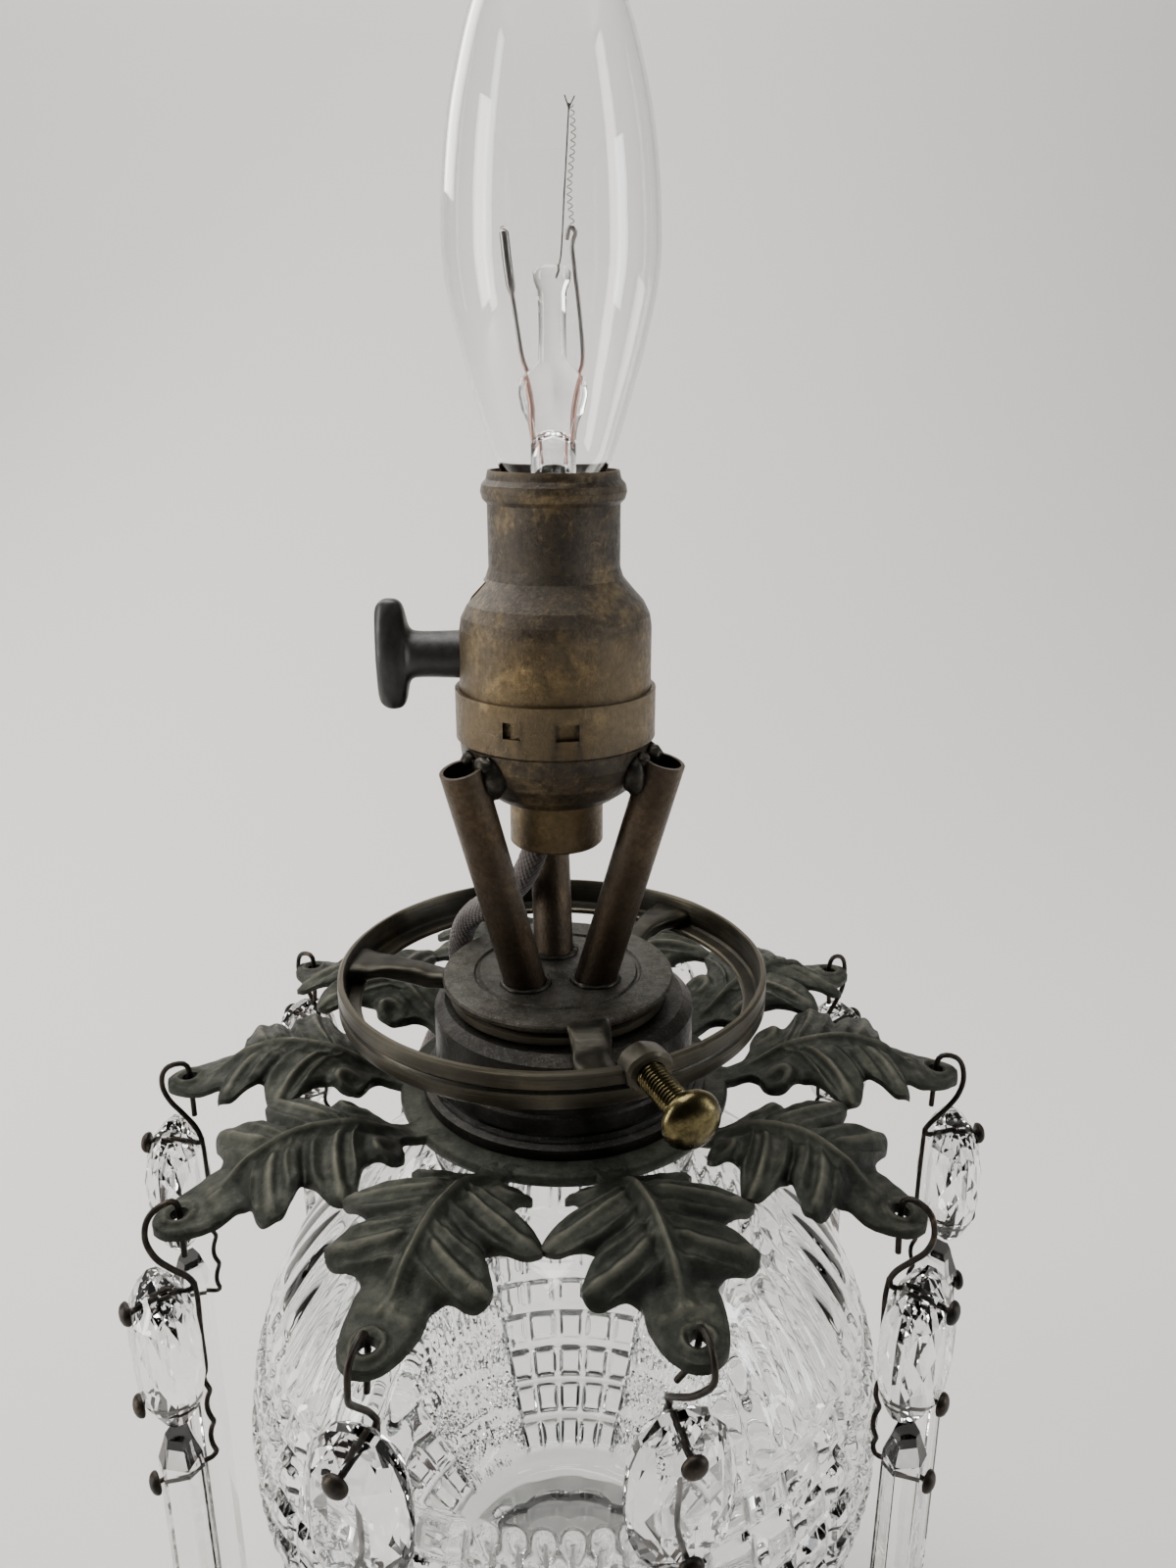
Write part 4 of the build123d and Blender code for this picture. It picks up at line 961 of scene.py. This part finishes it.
def leaf_mesh(az, tip, seed, worn):
    """A cast acanthus leaf as one closed shell; worn collects (point, height above the plain arch), the relief that the
    material uses for the dark hollows and for a painted highlight on the ridges.
    """
    k = (tip - 27.0) / 46.0
    rng = np.random.RandomState(seed)
    jit = rng.uniform(-1, 1, 16)
    nt, ns = 150, 24
    grid = np.zeros((2, 2, nt + 1, ns + 1, 3))
    hgt = np.zeros((2, nt + 1, ns + 1))
    P = np.array(OUTLINE)
    for side in (0, 1):
        sg = 1 if side else -1
        for i in range(nt + 1):
            t = i / nt * (len(OUTLINE) - 1)
            j = min(int(t), len(OUTLINE) - 2)
            f = t - j
            p0, p1, p2, p3 = P[max(j - 1, 0)], P[j], P[j + 1], P[min(j + 2, len(P) - 1)]
            o = 0.5 * ((2 * p1) + (-p0 + p2) * f + (2 * p0 - 5 * p1 + 4 * p2 - p3) * f * f + (-p0 + 3 * p1 - 3 * p2 + p3) * f ** 3)
            orad, ov, om = o
            ov = max(ov, 0.0) * (1 + 0.03 * jit[side])
            orad += 0.5 * jit[2 + side] * smoothstep(8, 14, t) * (1 - smoothstep(20, 26, t))
            om = min(om, orad)
            for q in range(ns + 1):
                s = q / ns
                cr, cv = om + 0.72 * (orad - om), 0.26 * ov
                r = (1 - s) ** 2 * om + 2 * s * (1 - s) * cr + s * s * orad
                v = 2 * s * (1 - s) * cv + s * s * ov
                v = v if s < 1 else ov
                z = cubic(min(r, 76), TOP)
                body = smoothstep(31, 38, r)
                # whole leaf is crowned, the side lobes droop towards their neighbours
                z -= 0.011 * v ** 2 * body
                z -= 0.9 * math.exp(-((t - 13.0) / 1.3) ** 2) * s ** 3
                rel = 0.0
                # midrib and the hollow along its sides
                fade = 1 - smoothstep(58, 67, r)
                rel += 0.9 * math.exp(-(v / 0.62) ** 2) * body * fade
                rel -= 0.55 * math.exp(-((v - 1.9) / 0.9) ** 2) * body * fade
                for c, amp, wd in RIBS:
                    c2 = c + 0.15 * jit[int(c) % 12]
                    env = smoothstep(0.06, 0.3, s) * (1 - 0.75 * smoothstep(0.72, 1.0, s))
                    rel += amp * env * math.exp(-((t - c2) / (wd * 0.55)) ** 2)
                for c, amp, wd in FURROWS:
                    env = smoothstep(0.22, 0.7, s)
                    rel -= amp * env * math.exp(-((t - c) / wd) ** 2)
                # rolled volute beside the stem
                d = math.hypot(r - 37.5, v - 7.1)
                open_c = 1.0 - 0.75 * smoothstep(0.1, 0.9, (37.5 - r) / max(d, 0.2))
                rel += 0.8 * math.exp(-((d - 2.1) / 1.0) ** 2) * smoothstep(2.6, 5.5, v) * open_c - 0.3 * math.exp(-(d / 1.3) ** 2)
                # rims turned up on the lobes
                lip = math.exp(-((t - 12.9) / 1.7) ** 2) + 0.8 * math.exp(-((t - 19.6) / 1.5) ** 2)
                rel += 0.75 * lip * smoothstep(0.8, 0.95, s)
                # boss round the hook hole, small pimple behind it
                hr = math.hypot(r - (73.0 - 4.0 / k), v)
                rel += 0.6 * math.exp(-((hr - 2.2) / 0.5) ** 2)
                rel += 0.4 * math.exp(-(math.hypot(r - 64.2, v - 0.5) / 0.8) ** 2)
                rel += 0.16 * noise.noise(Vector((r * 0.6 + seed * 3, sg * v * 0.6, 0.0)))
                rim = smoothstep(0.86, 1.0, s)
                zt = z + rel - 0.5 * rim ** 2
                th = 1.75 - 0.75 * rim ** 2
                R = min(27.0 + (r - 27.0) * k, tip)
                grid[side, 0, i, q] = (R, sg * v, zt)
                grid[side, 1, i, q] = (R, sg * v, zt - th + 0.35 * max(min(rel, 1.0), -0.6) * 0)
                hgt[side, i, q] = rel - 0.5 * rim
    c0, s0 = math.cos(math.radians(az)), math.sin(math.radians(az))
    verts, faces = [], []

    def idx(side, layer, i, q):
        return ((side * 2 + layer) * (nt + 1) + i) * (ns + 1) + q
    for side in (0, 1):
        for layer in (0, 1):
            for i in range(nt + 1):
                for q in range(ns + 1):
                    R, v, z = grid[side, layer, i, q]
                    p = ((R * c0 - v * s0) * MM, (R * s0 + v * c0) * MM, z * MM)
                    verts.append(p)
                    if layer == 0:
                        worn.append((p, hgt[side, i, q]))
    for side in (0, 1):
        for i in range(nt):
            for q in range(ns):
                for layer in (0, 1):
                    f4 = [idx(side, layer, i, q), idx(side, layer, i + 1, q), idx(side, layer, i + 1, q + 1), idx(side, layer, i, q + 1)]
                    faces.append(f4 if (layer == 0) == (side == 0) else f4[::-1])
            faces.append([idx(side, 0, i, ns), idx(side, 0, i + 1, ns), idx(side, 1, i + 1, ns), idx(side, 1, i, ns)])
        for q in range(ns):
            faces.append([idx(side, 0, 0, q), idx(side, 0, 0, q + 1), idx(side, 1, 0, q + 1), idx(side, 1, 0, q)])
    return verts, faces


def drill(mesh, points, radius, z0, z1):
    """Cuts upright round holes (mm) through a mesh."""
    cutters = Builder()
    for x, y in points:
        cutters.add(lathe([(0, z0), (radius, z0), (radius, z1), (0, z1)], x, y, 24))
    return subtract(mesh, make_mesh("cutter", cutters.v, cutters.f))


def leaf_ring():
    b = Builder()
    # relief height per point; the leaf material paints a highlight on the ridges from it
    worn = []
    for i, (az, tip) in enumerate(zip(LEAF_AZ, LEAF_TIP)):
        lv, lf = leaf_mesh(az, tip, i + 3, worn)
        m = make_mesh("leaf", lv, lf)
        r = tip - 4.0
        m = drill(m, [(r * math.cos(math.radians(az)), r * math.sin(math.radians(az)))], 1.35, 160, 180)
        b.add(([v.co.copy() for v in m.vertices], [tuple(p.vertices) for p in m.polygons]))
        bpy.data.meshes.remove(m)
    b.add(lathe([(22.4, 168.2), (22.8, 168.4), (28.8, 168.4), (29.4, 168.0), (29.5, 167.2), (29.2, 166.4), (28.8, 166.2), (22.6, 166.2),
                 (22.2, 166.6), (22.2, 167.9)], 0, 0, 192))
    ob = b.piece("leaf_ring", M["leaf"], "lamp", ("prism_ring",), "verdigris_brass", angle=50)
    tree = KDTree(len(worn))
    for i, (p, h) in enumerate(worn):
        tree.insert(p, i)
    tree.balance()
    att = ob.data.attributes.new("relief", "FLOAT", "POINT")
    vals = []
    for v in ob.data.vertices:
        co, i, d = tree.find(v.co)
        vals.append(worn[i][1] if d < 0.0006 else -0.2)
    att.data.foreach_set("value", vals)
    return ob


leaf_ring()


# --------------------------------------------------------------- pendants
def facet_hull(points):
    bm = bmesh.new()
    vs = [bm.verts.new(tuple(np.array(p) * MM)) for p in points]
    bmesh.ops.convex_hull(bm, input=vs)
    bmesh.ops.delete(bm, geom=[v for v in bm.verts if not v.link_faces], context="VERTS")
    bmesh.ops.dissolve_limit(bm, angle_limit=math.radians(1.0), verts=bm.verts, edges=bm.edges)
    bmesh.ops.recalc_face_normals(bm, faces=bm.faces)
    bm.verts.index_update()
    v = [x.co.copy() for x in bm.verts]
    f = [tuple(x.index for x in p.verts) for p in bm.faces]
    bm.free()
    return v, f


LEAN = {286.5: (-2.8, -2.6)}      # pendants that hang a little off their leaf's line


def to_world(local, az, tip):
    """(rho, lateral, z) mm to frame mm; rho is measured from the leaf tip."""
    c, s = math.cos(math.radians(az)), math.sin(math.radians(az))
    out = []
    dr, dl = LEAN.get(az, (0.0, 0.0))
    for rho, lat, z in local:
        f = 1 - smoothstep(156.0, 167.0, z)
        rho, lat = rho + dr * f, lat + dl * f
        out.append(((tip + rho) * c - lat * s, (tip + rho) * s + lat * c, z))
    return out


def oval_ring(n, a, b, z_c, rho, phase=0.0, e=0.84):
    pts = []
    for k in range(n):
        t = 2 * math.pi * (k + phase) / n
        ct, st = math.cos(t), math.sin(t)
        pts.append((rho, a * math.copysign(abs(ct) ** e, ct), z_c + b * math.copysign(abs(st) ** e, st)))
    return pts


def pendants():
    for i, (az, tip) in enumerate(zip(LEAF_AZ, LEAF_TIP)):
        tag = f"{i + 1:02d}"
        zc = 145.75
        pts = []
        for side in (-1, 1):
            pts += oval_ring(8, 4.6, 7.9, zc, 0.4 + side * 4.5, 0.5)
            pts += oval_ring(8, 6.35, 10.4, zc, 0.4 + side * 3.45, 0.0)
            pts += oval_ring(16, 7.35, 12.15, zc, 0.4 + side * 2.1, 0.5)
            pts += oval_ring(16, 8.0, 13.25, zc, 0.4 + side * 0.7, 0.0)
        v, f = facet_hull(to_world(pts, az, tip))
        Builder().add((v, f)).piece("drop_" + tag, M["crystal"], "jewel_" + tag, ("jewel_" + tag,), "crystal", smooth=False)

        pts = []
        rows = [(129.0, 5.0, 3.6), (127.6, 6.0, 4.3), (124.5, 8.6, 6.3), (123.4, 8.9, 6.4), (42.6, 9.6, 7.0), (41.4, 9.3, 6.7), (33.0, 1.6, 1.2)]
        ring = [(1.0, 0.0), (0.42, 0.86), (0.34, 1.0), (-0.34, 1.0), (-0.42, 0.86), (-1.0, 0.0), (-0.42, -0.86), (-0.34, -1.0), (0.34, -1.0), (0.42, -0.86)]
        for z, w, t in rows:
            for x, y in ring:
                pts.append((0.4 + y * t / 2, x * w / 2, z))
        n = len(ring)
        verts = [np.array(p) * MM for p in to_world(pts, az, tip)]
        faces = []
        for a in range(len(rows) - 1):
            for k in range(n):
                faces.append((a * n + k, a * n + (k + 1) % n, (a + 1) * n + (k + 1) % n, (a + 1) * n + k))
        faces.append(tuple(range(n)))
        faces.append(tuple((len(rows) - 1) * n + k for k in range(n))[::-1])
        Builder().add((verts, faces)).piece("spear_" + tag, M["prism_glass"], "prism_" + tag, ("prism_" + tag,), "crystal", smooth=False)

        # bent wire links and the two pins through the jewel, one more through the prism
        rng = np.random.RandomState(40 + i)
        j = rng.uniform(-1, 1, 14)
        w = Builder()

        def run(points, r=0.49, step=0.7, n=10):
            w.add(tube(smooth_line(to_world(points, az, tip), step), r, n))
        run([(-4.0 + 0.2 * j[0], 0.6 * j[1], 160.6), (-4.1, 0.3 * j[1], 164.5), (-4.05, 0.1, 168.2), (-3.7, 0.0, 170.6), (-2.4, 0.1, 171.2),
             (-0.4, 0.2, 170.6), (0.9, 0.2, 168.9), (1.25, 0.3 * j[2], 166.0), (0.3, 1.1 * j[3], 163.0), (-1.6, 1.4 * j[3], 160.4),
             (-3.8, 0.8 * j[3], 157.6), (-4.8, 0.2, 155.4), (-4.55, 0.0, 154.5), (-2.0, 0.0, 154.5), (5.1, 0.0, 154.5)])
        run([(-4.9, 0.2, 155.6), (-5.1, 0.5 * j[4], 152.0), (-5.0, 0.4 * j[5], 146.0), (-5.05, 0.3 * j[6], 140.0), (-4.7, 0.0, 137.6),
             (-3.6, 0.0, 137.0), (5.1, 0.0, 137.0)], 0.42)
        tw = [(-4.9 + 0.35 * math.cos(t), 0.55 * math.sin(t) + 0.2 * j[7], 137.2 - t * 1.02) for t in np.arange(0, 15.0, 0.7)]
        run(tw + [(-4.4, 0.0, 121.0), (-2.0, 0.0, 121.0), (4.4, 0.0, 121.0)], 0.42)
        for z, rho in ((154.5, 4.9), (137.0, 4.9), (121.0, 4.2)):
            c, s = math.cos(math.radians(az)), math.sin(math.radians(az))
            o = to_world([(rho, 0.0, z)], az, tip)[0]
            w.add(disc_between([(0, -0.15), (1.55, -0.1), (1.88, 0.1), (1.92, 0.4), (1.75, 0.8), (1.35, 1.15), (0.7, 1.38), (0, 1.45)], o, (c, s, 0), 24))
        w.piece("links_" + tag, M["wire"], "jewel_" + tag, ("chain_wires_" + tag,), "dark_wire")


pendants()


# -------------------------------------------------------------- glass ball
def ball_relief(a, th):
    """Depth of the cutting (mm) under the ball's full radius; a azimuth, th angle below the top (radians)."""
    deg = math.degrees(a)
    k = (deg - 90.0 + 36.0) % 72.0 - 36.0           # degrees from the nearest block panel's middle
    tdeg = math.degrees(th)
    y = (tdeg - 66.0) * 1.056                        # mm down the wall from the top of the cutting
    band = smoothstep(0.0, 3.0, y) * (1 - smoothstep(149.0, 153.0, tdeg))
    half = 20.5
    u = k / half
    panel = 1 - smoothstep(0.98, 1.02, abs(u))
    # blocks: five columns of flat-topped cushions between mitre cuts
    cu = abs(((u + 1) * 2.5) % 1.0 - 0.5) * 2
    cv = abs((y / 8.2) % 1.0 - 0.5) * 2
    block = max(1.3 * smoothstep(0.5, 1.0, cu), 1.75 * smoothstep(0.42, 1.0, cv))
    # between the panels: leaf-shaped hollows that fan up from the foot and cross low rows
    fx, fy = (36.0 - abs(k)) * 1.06, 92.0 - y
    ang = math.degrees(math.atan2(fx, max(fy, 0.01)))
    rad = math.hypot(fx, fy)
    swirl = ang * (1.0 + 0.010 * rad) / 5.6
    fan = abs(swirl % 1.0 - 0.5) * 2
    row = abs(((y + 4.5 * math.cos(math.pi * swirl) ** 2) / 10.5) % 1.0 - 0.5) * 2
    fan_d = 1.3 * (1 - fan) ** 1.3 * smoothstep(4.0, 22.0, rad) + 1.1 * row ** 2.5
    edge = math.exp(-((abs(u) - 1.0) / 0.05) ** 2)
    cut = panel * block + (1 - panel) * fan_d + 0.9 * edge
    # long shallow flutes that run up the plain shoulder
    fl = abs((deg / 7.5) % 1.0 - 0.5) * 2
    aside = abs((deg - 270.0 + 180.0) % 360.0 - 180.0)
    flutes = 0.4 * smoothstep(22.0, 50.0, aside) * (1 - fl) ** 2 * smoothstep(38.0, 58.0, tdeg) * (1 - smoothstep(63.0, 67.0, tdeg))
    return band * cut + flutes


def glass_ball():
    R, cz, n = 60.45, 101.0, 600
    prof = []        # (radius, z, relief weight, theta)
    th0, th1 = math.radians(23.5), math.radians(157.5)
    steps = 250
    outer = [(18.8, 172.5, 0, 0), (23.4, 172.0, 0, 0), (24.0, 171.4, 0, 0), (24.0, 166.5, 0, 0), (23.6, 163.5, 0, 0)]
    for i in range(steps + 1):
        th = th0 + (th1 - th0) * i / steps
        outer.append((R * math.sin(th), cz + R * math.cos(th), 1, th))
    # waist, foot with scalloped rim
    lower = [(21.2, 42.6), (20.4, 39.6), (20.0, 36.5), (20.0, 33.5), (20.6, 30.0), (22.2, 26.0), (25.5, 21.5), (30.5, 17.0), (36.0, 12.6),
             (41.0, 9.0), (44.6, 6.2), (45.9, 4.6), (46.0, 2.6), (45.4, 0.9), (44.0, 0.15), (42.0, 0.0), (0.0, 0.0)]
    low = smooth_line([(r, 0, z) for r, z in lower[:-3]], 0.9)
    outer += [(p[0], p[2], 2, 0) for p in low] + [(44.0, 0.15, 0, 0), (42.0, 0.0, 0, 0), (0.0, 0.0, 0, 0)]
    v, f, rows = [], [], []
    for r, z, kind, th in outer:
        if r < 1e-6:
            rows.append([len(v)] * n)
            v.append((0, 0, z * MM))
            continue
        row = []
        for k in range(n):
            a = 2 * math.pi * k / n
            rr, zz = r, z
            if kind == 1:
                d = ball_relief(a, th)
                rr = (R - d) * math.sin(th)
                zz = cz + (R - d) * math.cos(th)
            elif kind == 2:
                # radial mitre flutes over the foot, round facets on the waist
                foot = smoothstep(22, 30, r)
                flute = abs((k / n * 24) % 1.0 - 0.5) * 2
                fine = abs((k / n * 72) % 1.0 - 0.5) * 2
                rr = r - (1.2 * (1 - foot) * (abs((k / n * 12) % 1.0 - 0.5) * 2) ** 2 + foot * (0.9 * (1 - flute) ** 2 + 0.25 * fine)) \
                    * (1 if z > 5 else smoothstep(0, 5, z))
            row.append(len(v))
            v.append((rr * math.cos(a) * MM, rr * math.sin(a) * MM, zz * MM))
        rows.append(row)
    # smooth inner wall
    inner = [(0.0, 49.4)]
    for th in np.radians(np.linspace(176, 22, 90)):
        rr, zz = 56.5 * math.sin(th), cz + 56.5 * math.cos(th)
        if zz < 49.4:
            zz = 49.4
        inner.append((rr, zz))
    inner = [p for p in inner if not (p[0] > 18.8 and p[1] > 160)]
    inner += [(19.4, 154.6), (18.9, 157.5), (18.8, 161.0), (18.8, 172.5)][0:3]
    irows = []
    n2 = n
    for r, z in inner:
        if r < 1e-6:
            irows.append([len(v)] * n)
            v.append((0, 0, z * MM))
        else:
            irows.append(list(range(len(v), len(v) + n)))
            for k in range(n):
                a = 2 * math.pi * k / n
                v.append((r * math.cos(a) * MM, r * math.sin(a) * MM, z * MM))

    def stitch(A, B):
        for k in range(n):
            q = [A[k], A[(k + 1) % n], B[(k + 1) % n], B[k]]
            q = [x for j, x in enumerate(q) if x not in q[:j]]
            if len(q) > 2:
                f.append(q)
    for A, B in zip(rows, rows[1:]):
        stitch(A, B)
    for A, B in zip(irows, irows[1:]):
        stitch(A, B)
    stitch(irows[-1], rows[0])
    return Builder().add((v, f)).piece("glass_ball", M["cut_glass"], "lamp", ("glass_body",), "cut_glass", angle=26)


glass_ball()

# ------------------------------------------- CAD nodes kept with new looks
KEEP = {"bulb_base_shell": "bright", "bulb_base_insulator": "black_glass", "bulb_base_contact": "solder", "socket_shell": "aged",
        "socket_cap": "aged", "cap_bushing": "aged", "insulating_liner": "fibre", "socket_insulator": "porcelain", "screw_shell": "bright",
        "centre_contact": "bright", "switch_rotor": "bright", "terminal_screws": "bright", "tripod_tubes": "tube",
        "adapter_ring": "black_brass", "font_collar": "black_brass", "cord_tie": "tie", "plug_blades": "bright"}
for node, look in KEEP.items():
    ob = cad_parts[node]
    if not ob.material_slots:
        ob.data.materials.append(M[look])
    for s in ob.material_slots:
        s.material = M[look]

# ------------------------------------------------------------------- stage
wall_mat = Mat("wall").set(color=(0.76, 0.74, 0.715), rough=0.85)
rowsY = [(-2.5, 0.0), (0.45, 0.0)]
for k in range(1, 13):
    t = math.pi / 2 * k / 12
    rowsY.append((0.45 + 0.6 * math.sin(t), 0.6 - 0.6 * math.cos(t)))
rowsY.append((1.05, 3.0))
vs, fs = [], []
for y, z in rowsY:
    vs += [(-3.0, y, z - 0.0003), (3.0, y, z - 0.0003)]
for i in range(len(rowsY) - 1):
    fs.append((2 * i, 2 * i + 1, 2 * i + 3, 2 * i + 2))
m = bpy.data.meshes.new("stage")
m.from_pydata(vs, [], fs)
m.shade_smooth()
stage = link("stage", m, wall_mat.m)
stage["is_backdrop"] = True


def area(name, loc, look, size, power, color=(1, 1, 1)):
    d = bpy.data.lights.new(name, "AREA")
    d.shape, d.size, d.size_y, d.energy, d.color = "RECTANGLE", size[0], size[1], power, color
    o = bpy.data.objects.new(name, d)
    o.location = loc
    o.rotation_euler = (Vector(look) - Vector(loc)).to_track_quat("-Z", "Y").to_euler()
    bpy.context.scene.collection.objects.link(o)
    return o


area("window_left", (-0.95, -0.22, 0.42), (0, 0, 0.27), (0.26, 0.75), 8.0, (1.0, 0.985, 0.95))
area("window_right", (0.9, -0.16, 0.36), (0, 0, 0.27), (0.17, 0.6), 3.6, (0.96, 0.98, 1.0))
area("sky_top", (-0.25, 0.25, 1.5), (0.0, 0.5, 0.1), (1.2, 0.9), 26, (1.0, 0.985, 0.965))
area("back_left", (-0.6, 0.55, 0.7), (0, 0, 0.2), (0.4, 0.5), 3.0, (1.0, 0.98, 0.95))

world = bpy.data.worlds.new("world")
bpy.context.scene.world = world
world.use_nodes = True
wt = world.node_tree
bg = wt.nodes["Background"]
tc = wt.nodes.new("ShaderNodeTexCoord")
sep = wt.nodes.new("ShaderNodeSeparateXYZ")
wt.links.new(tc.outputs["Generated"], sep.inputs[0])
rmp = wt.nodes.new("ShaderNodeValToRGB")
half = wt.nodes.new("ShaderNodeMath")
half.operation, half.inputs[1].default_value = "MULTIPLY_ADD", 0.5
half.inputs[2].default_value = 0.5
wt.links.new(sep.outputs[1], half.inputs[0])
wt.links.new(half.outputs[0], rmp.inputs["Fac"])
e = rmp.color_ramp.elements
e[0].position, e[0].color = 0.12, (0.05, 0.049, 0.048, 1)
e[1].position, e[1].color = 0.75, (0.8, 0.79, 0.77, 1)
k = e.new(0.38)
k.color = (0.22, 0.215, 0.21, 1)
wt.links.new(rmp.outputs["Color"], bg.inputs["Color"])
bg.inputs["Strength"].default_value = 0.6

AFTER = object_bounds()


def plain(b):
    try:
        return [[float(x) for x in p] for p in b]
    except TypeError:
        return [float(x) for x in b]


{"cad": plain(CAD_BOX), "visual": plain(AFTER)}
